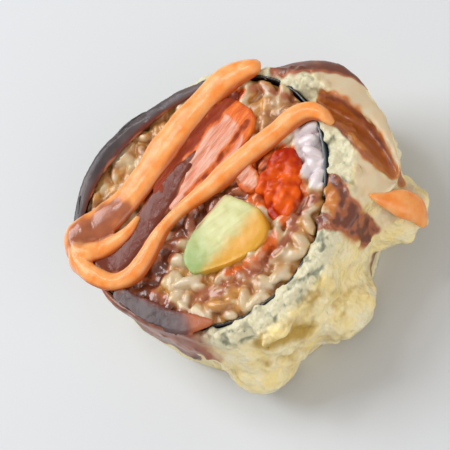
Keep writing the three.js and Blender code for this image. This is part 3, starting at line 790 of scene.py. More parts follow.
# ---- the pieces ----
class SUSHI_OT_batter_coat(bpy.types.Operator):
    """Craggy fried batter round the roll, with its flange"""

    bl_idname = "sushi.batter_coat"
    bl_label = "Batter coat"

    OUTSIDE, OVER, INSIDE, UNDER = 26, 22, 14, 5
    AROUND = 260

    def execute(self, context):
        roll = Roll(context.scene.slice_sizes)
        sections = self.OUTSIDE + self.OVER + self.INSIDE + self.UNDER
        nothing_selected()
        bpy.ops.mesh.primitive_torus_add(
            major_segments=self.AROUND, minor_segments=sections, major_radius=0.03, minor_radius=0.005
        )
        coat = named("batter_coat")
        write_points(coat, self.section_points(roll, sections))
        crumbs = self.crumbs(roll)
        coat = join([coat, *crumbs], "batter_coat")
        remesh(coat, voxel=0.4)
        relax(coat, 2)
        self.roughen(coat, roll)
        settle(coat, ("tempura_coat",), self.finish(context.scene.slice_colours))
        return {"FINISHED"}

    def section_points(self, roll, sections):
        angle = np.repeat(np.arange(self.AROUND) / self.AROUND * TAU, sections)
        step = np.tile(np.arange(sections), self.AROUND)
        up = step / (self.OUTSIDE - 1)
        over = 1 - (step - self.OUTSIDE + 1) / self.OVER
        down = 1 - (step - self.OUTSIDE - self.OVER + 1) / self.INSIDE
        back = (step - self.OUTSIDE - self.OVER - self.INSIDE + 1) / (self.UNDER + 1)
        radius, z = roll.coat_outside(angle, np.clip(up, 0, 1))
        top_radius, top_z = roll.coat_over(angle, np.clip(over, 0, 1))
        inside = roll.coat_inside(angle) - 0.2
        inner_top = roll.coat_over(angle, np.zeros_like(angle))[1]
        foot = roll.coat_outside(angle, np.zeros_like(angle))[0]
        over_nori = (0.3 + 0.8 * roll.lap_lift(angle)) * (1 - sector(angle, NORI_BARE, 90))
        top_radius -= over_nori * (1 - smooth(over, 0, 0.15))
        inside -= over_nori * smooth(down, 0.93, 1.0)
        part = np.digitize(step, np.cumsum((self.OUTSIDE, self.OVER, self.INSIDE)))
        radius = np.choose(part, (radius, top_radius, inside, inside + (foot - inside) * back))
        z = np.choose(part, (z, top_z, inner_top * np.clip(down, 0, 1), 0 * z))
        return placed(radius, angle, z)

    def crumbs(self, roll):
        """Small blobs of batter that have fried on to the coat."""
        draw = drawn(97)
        made = []
        for _ in range(120):
            angle = np.array([next(draw) * TAU])
            share = np.array([0.12 + 0.86 * next(draw)])
            radius, z = roll.coat_outside(angle, share)
            size = 0.7 + 1.3 * next(draw) ** 2
            size *= 0.25 + 0.75 * float(roll.coat_thickness(angle, share)[0]) / COAT_THICK
            crumb = blob(size, placed(radius - 0.35 * size, angle, np.maximum(z, size))[0])
            crumb.scale = (0.9 + 0.3 * next(draw), 0.9 + 0.3 * next(draw), 0.75 + 0.3 * next(draw))
            made.append(crumb)
        for _ in range(230):
            angle = np.array([math.radians(-135 + 190 * next(draw))])
            share = np.array([-0.06 + 0.6 * next(draw)])
            radius, z = roll.coat_over(angle, share)
            radius -= roll.lap_lift(angle) * next(draw)
            crumb = blob(0.35 + 0.6 * next(draw), placed(radius, angle, z + 0.1)[0])
            crumb.scale = (0.8 + 0.6 * next(draw), 0.8 + 0.6 * next(draw), 0.6 + 0.3 * next(draw))
            made.append(crumb)
        return made

    def roughen(self, coat, roll):
        points, normals = read_points(coat), read_normals(coat)
        angle, reach = round_axis(points)
        inside = roll.coat_inside(angle)
        outward = smooth(reach - inside, 0.25, 1.4)
        on_top = smooth(normals[:, 2], 0.35, 0.8)
        puffs = 1 - lumps(points, 6.4)
        beads = 1 - lumps(points, 2.7, 9.0)
        grain = ripples(points, 1.1, 3, 4.0)
        bent = np.stack([ripples(points, 1.3, 2, shift) for shift in (40.0, 50.0, 60.0)], axis=1)
        crumbly = 1 - lumps(points + 0.7 * bent, 1.9, 14.0)
        lip = roll.wing(angle) * smooth(reach - inside, 3.4, 5.2) * on_top
        rise = 1.1 * (puffs - 0.55) * (1 - 0.6 * on_top) + 0.75 * (beads - 0.5) * (1 - 0.7 * on_top)
        rise += 0.12 * grain
        rise += 0.6 * on_top * (crumbly - 0.6) * (1 - lip)
        share = np.clip(points[:, 2] / roll.slice_height, 0, 1)
        amber, sweet = self.thin_sauces(roll, points, angle, reach)
        rise *= outward * (0.15 + 0.85 * roll.coat_thickness(angle, share) / COAT_THICK) * (1 - 0.6 * lip)
        rise *= 1 - 0.7 * np.clip(np.maximum(amber, sweet), 0, 1)
        away = self.away_from(VALLEY, points)
        rise -= 1.5 * outward * np.exp(-((away / 1.6) ** 2))
        points += normals * rise[:, None]
        reach = round_axis(points)[1]
        over_nori = smooth(points[:, 2] - roll.rim(angle), -0.6, 0.1)
        nearest = inside - 0.18 - (0.7 + roll.lap_lift(angle)) * over_nori
        pushed = np.maximum(reach, nearest) / reach
        points[:, :2] *= pushed[:, None]
        write_grounded(coat, points)
        # The crease mask is painted shade: low in the hollows between puffs and beads and along the valley,
        # where the crust turns golden.
        hollow = 0.75 * (puffs - 0.5) + 0.3 * (beads - 0.5) + 0.5 * on_top * (crumbly - 0.55)
        cut = smooth(points[:, 2] - roll.rim(angle), -3.6, -0.8) * (1 - smooth(reach - inside, 2.8, 5.2))
        valley_shade = 0.8 * np.exp(-((away / 2.0) ** 2)) * (1 - smooth(cut, 0.1, 0.7))
        write_mask(coat, "crease", 0.62 + hollow + 0.15 * grain - valley_shade)
        write_mask(coat, "cut", np.maximum(cut, 0.6 * (1 - smooth(points[:, 2], 0, 0.3))))
        write_mask(coat, "lip", lip)
        write_mask(coat, "amber", amber)
        write_mask(coat, "sweet", sweet)
        write_mask(coat, "wet", np.maximum(amber, sweet))
        write_mask(coat, "rough", (1 - 0.8 * lip) * (1 - smooth(np.maximum(amber, sweet), 0.2, 0.8)))
        # The crumb mask is low in the cracks of the cut batter, which get painted dark grey-green shade, less
        # of it on one stretch.
        less_crack_shade = 0.3 * smooth(degrees_of(angle), -50, -32)
        write_mask(coat, "crumb", 0.5 + 1.1 * (crumbly - 0.5) + 0.5 * (beads - 0.5) + 0.35 * grain + less_crack_shade)

    def away_from(self, path, points):
        """Distance of each point to a path."""
        return np.min([np.linalg.norm(points - spot, axis=1) for spot in along(path, (1, 1), 40)[0]], axis=0)

    def thin_sauces(self, roll, points, angle, reach):
        """How much amber and dark sauce lies on each point of the coat, its near left side included."""
        x, y, z = points.T
        high = smooth(z, 12.5, 14.0)
        patchy = 1 + 0.25 * ripples(points, 2.2, 2, 31.0)
        mottled = 1 + 0.9 * ripples(points, 1.7, 2, 17.0)
        drips = 10.5 + 3.5 * np.sin(9 * angle + 1) + 2 * np.sin(23 * angle)
        below = z - roll.slice_height + drips
        side = smooth(below, -0.8, 0.8) * sector(angle, -166, 42) * (1.15 - 0.35 * smooth(below, 0.5, 4.0))
        drip = np.exp(-((self.away_from(DRIP, points) / 1.1) ** 2))
        sweet = np.maximum(stain_at("coat_sweet", x, y) * high, side) * patchy
        sweet = np.maximum(sweet, stain_at("seam_sweet", x, y) * high * mottled)
        return stain_at("amber", x, y) * high * patchy, np.maximum(sweet, drip)

    def finish(self, colours):
        made = Finish("fried_batter", 0.45, Specular_IOR_Level=0.4)
        pale = made.drift(colours.batter, (0.88, 0.82, 0.60), 3.6, 0.9)
        # painted shade: golden in the creases and along the valley
        crust = made.mix(made.mask("crease", 0.05, 0.62), colours.batter_crease_shade, pale)
        fried_lip = made.drift((0.63, 0.54, 0.37), (0.68, 0.47, 0.28), 3.0, 0.8)
        crust = made.mix(made.mask("lip"), crust, fried_lip)
        # painted shade: dark grey-green in the cracks of the cut batter
        inner = made.mix(made.mask("crumb", 0.0, 0.55), (0.23, 0.24, 0.16), colours.batter_cut)
        made.base(made.sauced(made.mix(made.mask("cut"), crust, inner), colours, ("amber", "sweet")))
        made.link(made.mask("wet", 0.2, 0.9, 0.5), made.shader.inputs["Coat Weight"])
        made.soft(0.25, (1.0, 0.7, 0.35), 1.0)
        made.bump(made.scaled(made.relief(0.9, 0.7), made.mask("rough")), 0.3)
        return made.material


class SUSHI_OT_nori_sheet(bpy.types.Operator):
    """Rolled sheet of nori, with its ends lapped"""

    bl_idname = "sushi.nori_sheet"
    bl_label = "Nori sheet"

    GREY_SHEEN = -30, 44  # degrees, the middle and the half width of the stretch painted paler grey-blue, a painted sheen

    def execute(self, context):
        roll = Roll(context.scene.slice_sizes)
        along_steps, up_steps = 420, 40
        nothing_selected()
        bpy.ops.mesh.primitive_grid_add(x_subdivisions=along_steps, y_subdivisions=up_steps, size=1)
        sheet = named("nori_sheet")
        points = read_points(sheet) * MM + 0.5
        turn = points[:, 0] * (TAU + math.radians(NORI_OVERLAP))
        angle = math.radians(NORI_SEAM) + turn
        lift = (roll.nori_thickness + GAP) * smooth(turn, TAU - math.radians(45), TAU)
        radius = roll.radius(angle) + lift - roll.nori_thickness / 2
        top = roll.nori_top(angle) - 0.5 * (1 - sector(angle, NORI_BARE, 90))
        top -= 0.8 * smooth(turn, TAU - math.radians(40), TAU - math.radians(8))
        z = points[:, 1] * top
        edge = placed(radius, angle, z * 0.4)
        z += points[:, 1] ** 8 * 0.28 * ripples(edge, 1.6, 2, 3.0)
        radius = radius + 0.1 * ripples(edge, 2.4, 2) * points[:, 1]
        radius += 0.35 * sector(angle, NORI_BARE, 60) * smooth(points[:, 1], 0.88, 1.0)
        write_points(sheet, placed(radius, angle, z))
        apply(sheet, "SOLIDIFY", thickness=0.3 * MM, offset=0.0)
        points = read_points(sheet)
        write_grounded(sheet, points)
        write_mask(sheet, "grey_sheen", sector(round_axis(points)[0], *self.GREY_SHEEN))
        settle(sheet, ("nori",), self.finish(context.scene.slice_colours))
        return {"FINISHED"}

    def finish(self, colours):
        made = Finish("damp_nori", 0.26, Specular_IOR_Level=0.7)
        damp = made.drift(colours.nori, (0.03, 0.022, 0.012), 3.0, 0.7)
        # painted sheen: the nori paler grey-blue on one stretch
        made.base(made.mix(made.mask("grey_sheen"), damp, (0.15, 0.17, 0.19)))
        made.bump(made.relief(0.7, 0.5), 0.1)
        return made.material


class SUSHI_OT_rice(bpy.types.Operator):
    """Packed rice: a core in two parts, and the grains that show on both cut faces"""

    bl_idname = "sushi.rice"
    bl_label = "Rice"

    FOOT = 0.35  # height where the plain lower core starts
    SPLIT = 18.8  # height where it ends, a little way into the fine upper part

    def execute(self, context):
        roll = Roll(context.scene.slice_sizes)
        packed = roll.rice_top - 0.45
        upper = [self.core(roll, self.SPLIT - 0.5, packed)]
        upper += self.layer(roll, seed=211, spacing=2.3, level=packed, uneven=0.5)
        upper += self.layer(roll, seed=57, spacing=3.0, level=roll.rice_top + 0.15, uneven=0.45, clear=1.12)
        rice = join(upper, "sushi_rice_grains")
        remesh(rice, voxel=0.28)
        relax(rice, 1, 0.3)
        lower = [self.core(roll, self.FOOT, self.SPLIT)]
        lower += self.layer(roll, seed=83, spacing=3.0, level=1.0, uneven=0.15)
        rice = join([rice, *lower], "sushi_rice_grains")
        points = read_points(rice)
        angle, reach = round_axis(points)
        points[:, :2] *= (np.minimum(reach, roll.rice_edge(angle) + 0.6) / np.maximum(reach, 0.01))[:, None]
        points[:, 2] = np.clip(points[:, 2], 0.02, roll.slice_height + 0.75)
        clean = self.stain(rice, points)
        write_stains(rice, points, share=1 - 0.95 * clean)
        wet = stain_at("sweet", points[:, 0], points[:, 1]) * (points[:, 2] > 15)
        points[:, 2] -= wet * (0.2 + 0.4 * np.maximum(0, points[:, 2] - roll.rice_top))
        beneath = nearest_streak(points[:, 0], points[:, 1], DARK_RIBBONS) > -0.4
        points[:, 2] = np.where(beneath, np.minimum(points[:, 2], roll.slice_height - 0.2), points[:, 2])
        write_points(rice, points)
        settle(rice, ("sushi_rice",), self.finish(context.scene.slice_colours))
        return {"FINISHED"}

    def core(self, roll, low, high):
        """Packed rice between two heights, out to the nori."""
        nothing_selected()
        bpy.ops.mesh.primitive_cylinder_add(vertices=120, radius=1, depth=1, end_fill_type="TRIFAN")
        core = named("rice_core")
        points = read_points(core) * MM
        angle, share = round_axis(points)
        z = np.where(points[:, 2] > 0, high, low)
        write_points(core, placed(share * roll.rice_edge(angle), angle, z))
        return core

    def grain(self, roll):
        """One cooked grain: a sphere drawn out, blunter at one end and slightly bowed."""
        nothing_selected()
        bpy.ops.mesh.primitive_uv_sphere_add(segments=9, ring_count=7, radius=1)
        grain = named("grain")
        bpy.ops.transform.rotate(value=math.pi / 2, orient_axis="Y")
        bpy.ops.object.transform_apply(location=False, rotation=True, scale=False)
        points = read_points(grain) * MM
        blunt = 1 - 0.16 * points[:, 0]
        points[:, 1] *= blunt
        points[:, 2] *= blunt
        points *= np.array([roll.grain_length / 2, roll.grain_width / 2, roll.grain_width / 2.15])
        points[:, 1] += 0.045 * points[:, 0] ** 2
        write_points(grain, points)
        return grain

    def layer(self, roll, seed, spacing, level, uneven, clear=0.86):
        """Grains strewn over one level, no closer than a spacing, and clear of the fillings."""
        draw = drawn(seed)
        model = self.grain(roll)
        spots = []
        for _ in range(9000):
            x, y = (2 * next(draw) - 1) * 25.5, (2 * next(draw) - 1) * 25.5
            edge = float(roll.rice_edge(np.array([math.atan2(y, x)]))[0])
            if math.hypot(x, y) > edge - 1.0:
                continue
            spot = np.array([x]), np.array([y])
            if any(float(filling_axes(name, *spot)[2][0]) < clear for name in FILLINGS):
                continue
            if all((x - a) ** 2 + (y - b) ** 2 > spacing**2 for a, b in spots):
                spots.append((x, y))
        made = []
        for x, y in spots:
            grain = model.copy()
            grain.data = model.data.copy()
            bpy.context.collection.objects.link(grain)
            size = 0.9 + 0.2 * next(draw)
            grain.scale = (size, size, size)
            upright = 0.7 * next(draw) ** 2
            roll_over = (next(draw) - 0.5) * 2
            side = 1 if next(draw) > 0.5 else -1
            grain.rotation_euler = (roll_over, upright * side, next(draw) * TAU)
            grain.location = (x * MM, y * MM, (level + uneven * (next(draw) - 0.5) * 2) * MM)
            made.append(grain)
        bpy.data.objects.remove(model)
        return made

    def stain(self, rice, points):
        """Masks of soaked and of clean rice, the soaked one stronger at the low points between grains as
        painted shade, and how clean each point is.
        """
        amount = np.zeros(len(points))
        for x, y, reach, strength in RICE_STAINS:
            away = np.hypot(points[:, 0] - x, points[:, 1] - y) / reach
            amount = np.maximum(amount, strength * (1 - smooth(away, 0.35, 1.0)))
        clean = np.zeros(len(points))
        for x, y, reach in RICE_CLEAN:
            away = np.hypot(points[:, 0] - x, points[:, 1] - y) / reach
            clean = np.maximum(clean, 1 - smooth(away, 0.4, 1.1))
        amount *= 1 - clean
        patchy = ripples(points, 3.0, 2, 6.0)
        # Low points between the grains are darkened further: painted shade.
        low = 1 - smooth(points[:, 2], 20.5, 21.8)
        top = points[:, 2] > 5
        crease_shade = (0.7 - 0.35 * clean) * low * top
        write_mask(rice, "stain", amount * (0.5 + 0.5 * low + 0.8 * patchy) + 0.1 - 0.15 * clean + crease_shade)
        write_mask(rice, "clean", clean)
        return clean

    def finish(self, colours):
        made = Finish("cooked_rice", 0.24, Specular_IOR_Level=0.55)
        clean = made.drift(colours.rice, (0.60, 0.44, 0.22), 3.2, 0.9)
        clean = made.mix(made.mask("clean"), clean, (0.74, 0.66, 0.68))
        soaked = made.drift(colours.rice_stain, (0.64, 0.32, 0.08), 2.6, 1.0)
        made.base(made.sauced(made.mix(made.mask("stain", 0.1, 0.85), clean, soaked), colours))
        made.soft(0.3, (1.0, 0.65, 0.4), 0.8)
        made.bump(made.relief(0.8, 0.1), 0.03)
        return made.material


def filling_block(name, piece_name, voxel, top_less=0.0, outline=None):
    """A filling's rounded block through the slice, remeshed fine enough to shape."""
    f = FILLINGS[name]
    nothing_selected()
    bpy.ops.mesh.primitive_cylinder_add(vertices=90, radius=1, depth=1, end_fill_type="TRIFAN")
    block = named(piece_name)
    points = read_points(block) * MM
    around, reach = round_axis(points)
    c, s = np.cos(around), np.sin(around)
    u = np.sign(c) * np.abs(c) ** (2 / f["square"]) * f["half"][0] * reach
    wide = f["half"][1] * (1 + f["taper"] * u / f["half"][0])
    v = np.sign(s) * np.abs(s) ** (2 / f["square"]) * wide * reach
    turn = math.radians(f["turn"])
    x = f["at"][0] + u * math.cos(turn) - v * math.sin(turn)
    y = f["at"][1] + u * math.sin(turn) + v * math.cos(turn)
    if outline:
        out = outline_reach(outline, f["at"], around) * reach
        x, y = f["at"][0] + out * c, f["at"][1] + out * s
    z = np.where(points[:, 2] > 0, SLICE_HEIGHT + f["top"] - top_less, 0.0)
    write_points(block, np.stack([x, y, z], axis=1))
    remesh(block, voxel)
    return block


class SUSHI_OT_crab_sticks(bpy.types.Operator):
    """Two cut lengths of fibrous crab stick"""

    bl_idname = "sushi.crab_sticks"
    bl_label = "Crab sticks"

    def execute(self, context):
        finish = self.finish(context.scene.slice_colours)
        for node in ("crab_stick", "crab_stick_end"):
            stick = filling_block(node, f"{node}_flesh", voxel=0.4)
            relax(stick, 6)
            points, normals = read_points(stick), read_normals(stick)
            u, v, out = filling_axes(node, points[:, 0], points[:, 1])
            flat = np.stack([u * 0.16, v, 0 * v], axis=1)
            strands = np.abs(ripples(flat, 1.5, 2, 5.0))
            lift = 0.75 * (0.45 - strands) + 0.3 * ripples(np.stack([u * 0.4, v, 0 * v], axis=1), 4.5, 1)
            lift *= smooth(np.abs(normals[:, 2]), 0.3, 0.9) * (points[:, 2] > 5)
            points += normals * lift[:, None]
            write_grounded(stick, points)
            patch = ripples(points, 3.2, 2, 2.0)
            ends = smooth(u + patch, 7.4, 9.2) if node == "crab_stick" else 0.15
            sides = 0.8 * smooth(out + 0.16 * patch, 0.82, 1.0) * smooth(u, -9.5, -5.0)
            write_mask(stick, "skin", sides + ends)
            write_mask(stick, "fibre", 1 - 2.2 * strands)
            write_stains(stick, points, patchy=0.6)
            settle(stick, (node,), finish)
        return {"FINISHED"}

    def finish(self, colours):
        made = Finish("crab_stick_flesh", 0.26, Specular_IOR_Level=0.28)
        fibres = made.noise(0.45, stretch=(9, 1, 1), turn=4, detail=4)
        flesh = made.mix(fibres, colours.crab, (0.78, 0.36, 0.24))
        flesh = made.mix(made.mask("fibre", 0.4, 1.3), flesh, (0.82, 0.50, 0.38))
        skin = made.drift(colours.crab_skin, (0.90, 0.25, 0.03), 1.8, 0.8)
        stick = made.mix(made.mask("skin", 0.2, 0.8), flesh, skin)
        made.base(made.sauced(stick, colours, ("sweet", "chili"), 0.02))
        made.link(made.mask("chili", 0.3, 1.0, 0.75, 0.26), made.shader.inputs["Roughness"])
        made.soft(0.35, (1.0, 0.4, 0.25), 1.0)
        made.bump(fibres, 0.12)
        return made.material


class SUSHI_OT_spicy_tuna(bpy.types.Operator):
    """Chopped red orange fish"""

    bl_idname = "sushi.spicy_tuna"
    bl_label = "Spicy tuna"

    BITS = 95
    LEVEL = 21.9  # height of the bits' middles, before each one's own rise and its fall towards the outline

    def execute(self, context):
        block = filling_block("spicy_tuna", "spicy_tuna_mince", voxel=0.45, top_less=0.7)
        draw = drawn(29)
        middle = FILLINGS["spicy_tuna"]["at"]
        bits = []
        while len(bits) < self.BITS:
            around, out = next(draw) * TAU, math.sqrt(next(draw))
            reach = float(outline_reach(TUNA_OUTLINE, middle, np.array([around]))[0]) - 0.6
            x, y = middle[0] + out * reach * math.cos(around), middle[1] + out * reach * math.sin(around)
            size = 0.8 + 0.6 * next(draw)
            bit = blob(size, (x, y, self.LEVEL + 0.5 * next(draw) - 0.5 * out))
            bit.scale = (1.0 + 0.7 * next(draw), 0.8 + 0.3 * next(draw), 0.8)
            bit.rotation_euler = (0.4 * next(draw), 0.4 * next(draw), TAU * next(draw))
            bits.append(bit)
        mince = join([block, *bits], "spicy_tuna_mince")
        remesh(mince, voxel=0.3)
        relax(mince, 3)
        points, normals = read_points(mince), read_normals(mince)
        grain = ripples(points, 0.9, 2, 7.0)
        points += normals * (0.1 * grain * (points[:, 2] > 3))[:, None]
        write_grounded(mince, points)
        lit = smooth(points[:, 2], 21.4, 22.6) - 0.9 * smooth(points[:, 0] + points[:, 1], 2.0, 9.0)
        # The bits mask holds the fish's patchy colour and painted light: higher points lighter orange, the
        # half towards +x+y darker as painted shade.
        write_mask(mince, "bits", 0.22 + 0.4 * ripples(points, 1.7, 2, 1.0) + 0.4 * lit)
        write_stains(mince, points, ("sweet",), patchy=0.3)
        settle(mince, ("spicy_tuna",), self.finish(context.scene.slice_colours))
        return {"FINISHED"}

    def finish(self, colours):
        made = Finish("spicy_tuna_flesh", 0.2, Specular_IOR_Level=0.16)
        # bright orange bits, with painted light on the higher points
        flesh = made.mix(made.mask("bits", 0.1, 0.85), colours.tuna, (0.80, 0.115, 0.006))
        made.base(made.sauced(flesh, colours, ("sweet",), 0.15))
        made.soft(0.2, (1.0, 0.2, 0.05), 1.0)
        made.bump(made.relief(0.5, 0.2), 0.05)
        return made.material


class SUSHI_OT_avocado(bpy.types.Operator):
    """Wedge of avocado, green on its outer side"""

    bl_idname = "sushi.avocado"
    bl_label = "Avocado"

    def execute(self, context):
        wedge = filling_block("avocado", "avocado_wedge", voxel=0.4, outline=AVOCADO_OUTLINE)
        relax(wedge, 3)
        points, normals = read_points(wedge), read_normals(wedge)
        u, v, out = filling_axes("avocado", points[:, 0], points[:, 1])
        top = smooth(normals[:, 2], 0.4, 0.95)
        points[:, 2] += top * (0.22 * np.sin(0.3 * u) - 0.014 * v * v + 0.18 * ripples(points, 5.0, 2))
        points += normals * (0.12 * ripples(points, 2.0, 2, 3.0) * (points[:, 2] > 3))[:, None]
        write_grounded(wedge, points)
        green = smooth(-u, -2.0, 7.0) * 0.75 + 0.5 * smooth(out, 0.75, 1.0) * smooth(-u, -1.0, 4.0)
        write_mask(wedge, "green", green + 0.12 * ripples(points, 3.0, 2, 8.0))
        # The soaked mask: chili oil on the lower side, and painted orange light reflected on that side from
        # the sauce beside it.
        below = -v + 0.3 * u + 0.8 * ripples(points, 2.4, 3, 15.0)
        write_mask(wedge, "soaked", smooth(below, -0.8, 5.6) * 0.95)
        write_stains(wedge, points, share=0.5, patchy=0.3)
        settle(wedge, ("avocado",), self.finish(context.scene.slice_colours))
        return {"FINISHED"}

    def finish(self, colours):
        made = Finish("avocado_flesh", 0.38, Specular_IOR_Level=0.45)
        flesh = made.drift(colours.avocado, (0.62, 0.58, 0.28), 4.0, 0.8)
        flesh = made.mix(made.noise(0.7, stretch=(7, 1, 7), turn=-17), flesh, (0.60, 0.60, 0.27))
        flesh = made.mix(made.mask("green", 0.1, 0.95), flesh, colours.avocado_rim)
        # lower side: chili oil and painted reflected orange light
        flesh = made.mix(made.mask("soaked", 0.1, 0.9), flesh, (0.72, 0.36, 0.03))
        made.base(made.sauced(flesh, colours))
        made.soft(0.3, (0.9, 0.8, 0.3), 1.2)
        made.bump(made.relief(1.2, 0.1), 0.06)
        return made.material


def face_level(x, y, roll, fall):
    """Height of the middle of what lies on the face: it climbs the proud nori and hangs over the rim."""
    angle = np.arctan2(y, x)
    past = np.hypot(x, y) - roll.radius(angle)
    climb = 0.7 * NORI_PROUD * sector(angle, NORI_BARE, 60) * smooth(past, -3.4, -0.6)
    return roll.slice_height + 0.45 + climb - fall * np.maximum(0, past - 1.2) ** 2


def sphere_along(name, rings):
    """A sphere to draw out along a path: its share of the way and its angle round the path at each point."""
    nothing_selected()
    bpy.ops.mesh.primitive_uv_sphere_add(segments=18, ring_count=rings, radius=1)
    piece = named(name)
    points = read_points(piece) * MM
    return piece, np.arccos(np.clip(points[:, 2], -1, 1)) / math.pi, round_axis(points)[0]


def read_along(t, run, values):
    """Rows of values at shares of the way along a path."""
    return np.stack([np.interp(t, run, column) for column in values.T], axis=1)


def strand_piece(path, wide, high, name, roll, lower=0.0, fall=0.3):
    """A closed strand of sauce: a sphere drawn out along the path over the upper face, its ends rounded."""
    piece, t, around = sphere_along(name, 26 * len(path))
    line, half = along(path, wide, 400)
    run = np.linspace(0, 1, 400)
    middle = read_along(t, run, line)
    slope = np.gradient(line, axis=0)
    slope /= np.linalg.norm(slope, axis=1)[:, None]
    tangent = read_along(t, run, slope)
    width = np.interp(t, run, half)
    span = np.linalg.norm(np.diff(line, axis=0), axis=1).sum()
    end = np.minimum(t, 1 - t) * span / np.maximum(width, 0.3)
    ends = np.sqrt(np.clip(1 - (1 - np.clip(end, 0, 1)) ** 2, 0, 1))
    side = np.cos(around) * width * ends
    swell = 1 + 0.05 * np.sin(t * span / 3.1) + 0.03 * np.sin(t * span / 1.3 + 1)
    up = np.sin(around) * high * ends * swell * (0.6 + 0.4 * width / max(wide))
    up = np.maximum(up, -0.6 * high)
    x = middle[:, 0] + tangent[:, 1] * side * swell
    y = middle[:, 1] - tangent[:, 0] * side * swell
    z = face_level(x, y, roll, fall) - lower + up
    write_points(piece, np.stack([x, y, z], axis=1))
    return piece


class SUSHI_OT_orange_sauce(bpy.types.Operator):
    """Strands of thick orange sauce across the upper face, and a drop over a crag"""

    bl_idname = "sushi.orange_sauce"
    bl_label = "Orange sauce"

    def execute(self, context):
        roll = Roll(context.scene.slice_sizes)
        strands = [
            strand_piece(roll=roll, name=f"orange_strand_{i}", **strand)
            for i, strand in enumerate(ORANGE_STRANDS)
        ]
        strands.append(self.drop())
        sauce = join(strands, "orange_sauce")
        remesh(sauce, voxel=0.3)
        relax(sauce, 4)
        points = read_points(sauce)
        normals = read_normals(sauce)
        points += normals * (0.09 * ripples(points, 4.2, 3, 2.0))[:, None]
        write_points(sauce, points)
        on_face = (points[:, 2] > 20) & (np.hypot(points[:, 0], points[:, 1]) < 29.5)
        across = nearest_streak(points[:, 0], points[:, 1], ORANGE_STRANDS, 0.0)
        # Painted shade: the strands' edges, most on their lower sides away from the window light, darkened to
        # deep orange.
        shaded_lower_side = np.where(on_face, 0.2 + 0.9 * smooth(-normals[:, 1], -0.05, 0.35), 0.0)
        write_mask(sauce, "edge", (1 - smooth(across, 0.15, 0.9)) * shaded_lower_side)
        # Painted light: the strands' upper sides, facing the window, paler.
        write_mask(sauce, "pale", np.where(on_face, 0.6 * smooth(normals[:, 1], 0.1, 0.75), 0.0))
        write_stains(sauce, points, ("strand_sweet",), 20.5, patchy=0.15)
        settle(sauce, (), self.finish(context.scene.slice_colours))
        return {"FINISHED"}

    def drop(self):
        """A closed drop that lies on the steep side of a crag."""
        drop, t, around = sphere_along("orange_drop", 60)
        line, half = along(DROP["path"], DROP["wide"], 200)
        run = np.linspace(0, 1, 200)
        middle = read_along(t, run, line)
        outward = np.array(DROP_OUTWARD)
        across = np.cross(np.gradient(line, axis=0), outward)
        across /= np.linalg.norm(across, axis=1)[:, None]
        across = read_along(t, run, across)
        width = np.interp(t, run, half) * np.sin(math.pi * t) ** 0.45
        middle += across * (np.cos(around) * width)[:, None]
        thick = np.sin(around) * width / max(half) * DROP["thick"]
        write_points(drop, middle + outward * thick[:, None])
        return drop

    def finish(self, colours):
        made = Finish("orange_mayonnaise", 0.22, Specular_IOR_Level=0.36)
        cream = made.drift(colours.orange_sauce, (0.92, 0.43, 0.15), 2.6, 1.0)
        # painted light on the strands' upper sides
        cream = made.mix(made.mask("pale"), cream, (0.92, 0.58, 0.32))
        # painted shade on the strands' edges and lower sides
        cream = made.mix(made.mask("edge", 0.0, 1.0, 0.85), cream, (0.50, 0.08, 0.008))
        made.base(made.sauced(cream, colours, ("sweet",)))
        made.soft(0.25, (1.0, 0.5, 0.2), 1.0)
        made.bump(made.relief(1.5, 0.0), 0.05)
        return made.material


class SUSHI_OT_dark_sauce(bpy.types.Operator):
    """Thin ribbons of dark sauce across the upper face and round its rim"""

    bl_idname = "sushi.dark_sauce"
    bl_label = "Dark sauce"

    def execute(self, context):
        roll = Roll(context.scene.slice_sizes)
        ribbons = [
            strand_piece(roll=roll, lower=0.1, name=f"dark_ribbon_{i}", **ribbon)
            for i, ribbon in enumerate(DARK_RIBBONS)
        ]
        sauce = join(ribbons, "dark_sauce")
        remesh(sauce, voxel=0.3)
        relax(sauce, 4)
        points, normals = read_points(sauce), read_normals(sauce)
        points += normals * (0.07 * ripples(points, 2.6, 2, 9.0))[:, None]
        points[:, 2] = np.maximum(points[:, 2], 0.02)
        write_points(sauce, points)
        edges = 1 - smooth(nearest_streak(points[:, 0], points[:, 1], DARK_RIBBONS), 0.0, 0.8)
        runny = 0.9 * smooth(points[:, 0] - 0.4 * points[:, 1], -15.5, -11) * (points[:, 1] < -12)
        write_mask(sauce, "thin", edges + 0.25 * ripples(points, 3.0, 2, 5.0) + runny)
        # The deep mask: the ribbons' outer parts by the far rim and on the near rim, dark as the nori under
        # them, with a painted grey sheen.
        angle, reach = round_axis(points)
        inner = 1.6 * (1 - smooth(degrees_of(angle), 95, 140)) - 0.8
        sheen_sectors = sector(angle, 95, 75) + 0.65 * sector(angle, -165, 45) * (1 - runny)
        write_mask(sauce, "deep", smooth(reach - roll.radius(angle) + inner, -3.0, -0.6) * sheen_sectors)
        settle(sauce, (), self.finish(context.scene.slice_colours))
        return {"FINISHED"}

    def finish(self, colours):
        made = Finish("dark_sweet_sauce", 0.2, Specular_IOR_Level=0.2)
        sauce = made.mix(made.mask("thin", 0.1, 0.95), colours.dark_sauce, colours.sauce_film)
        # sauce over the nori: dark, drifting to grey, which is a painted sheen
        over_nori = made.drift((0.055, 0.045, 0.05), (0.15, 0.115, 0.115), 7.0, 0.9)
        made.base(made.mix(made.mask("deep", 0.1, 0.8), sauce, over_nori))
        made.soft(0.15, (1.0, 0.3, 0.15), 0.8)
        made.bump(made.relief(2.6, 0.0), 0.18)
        return made.material


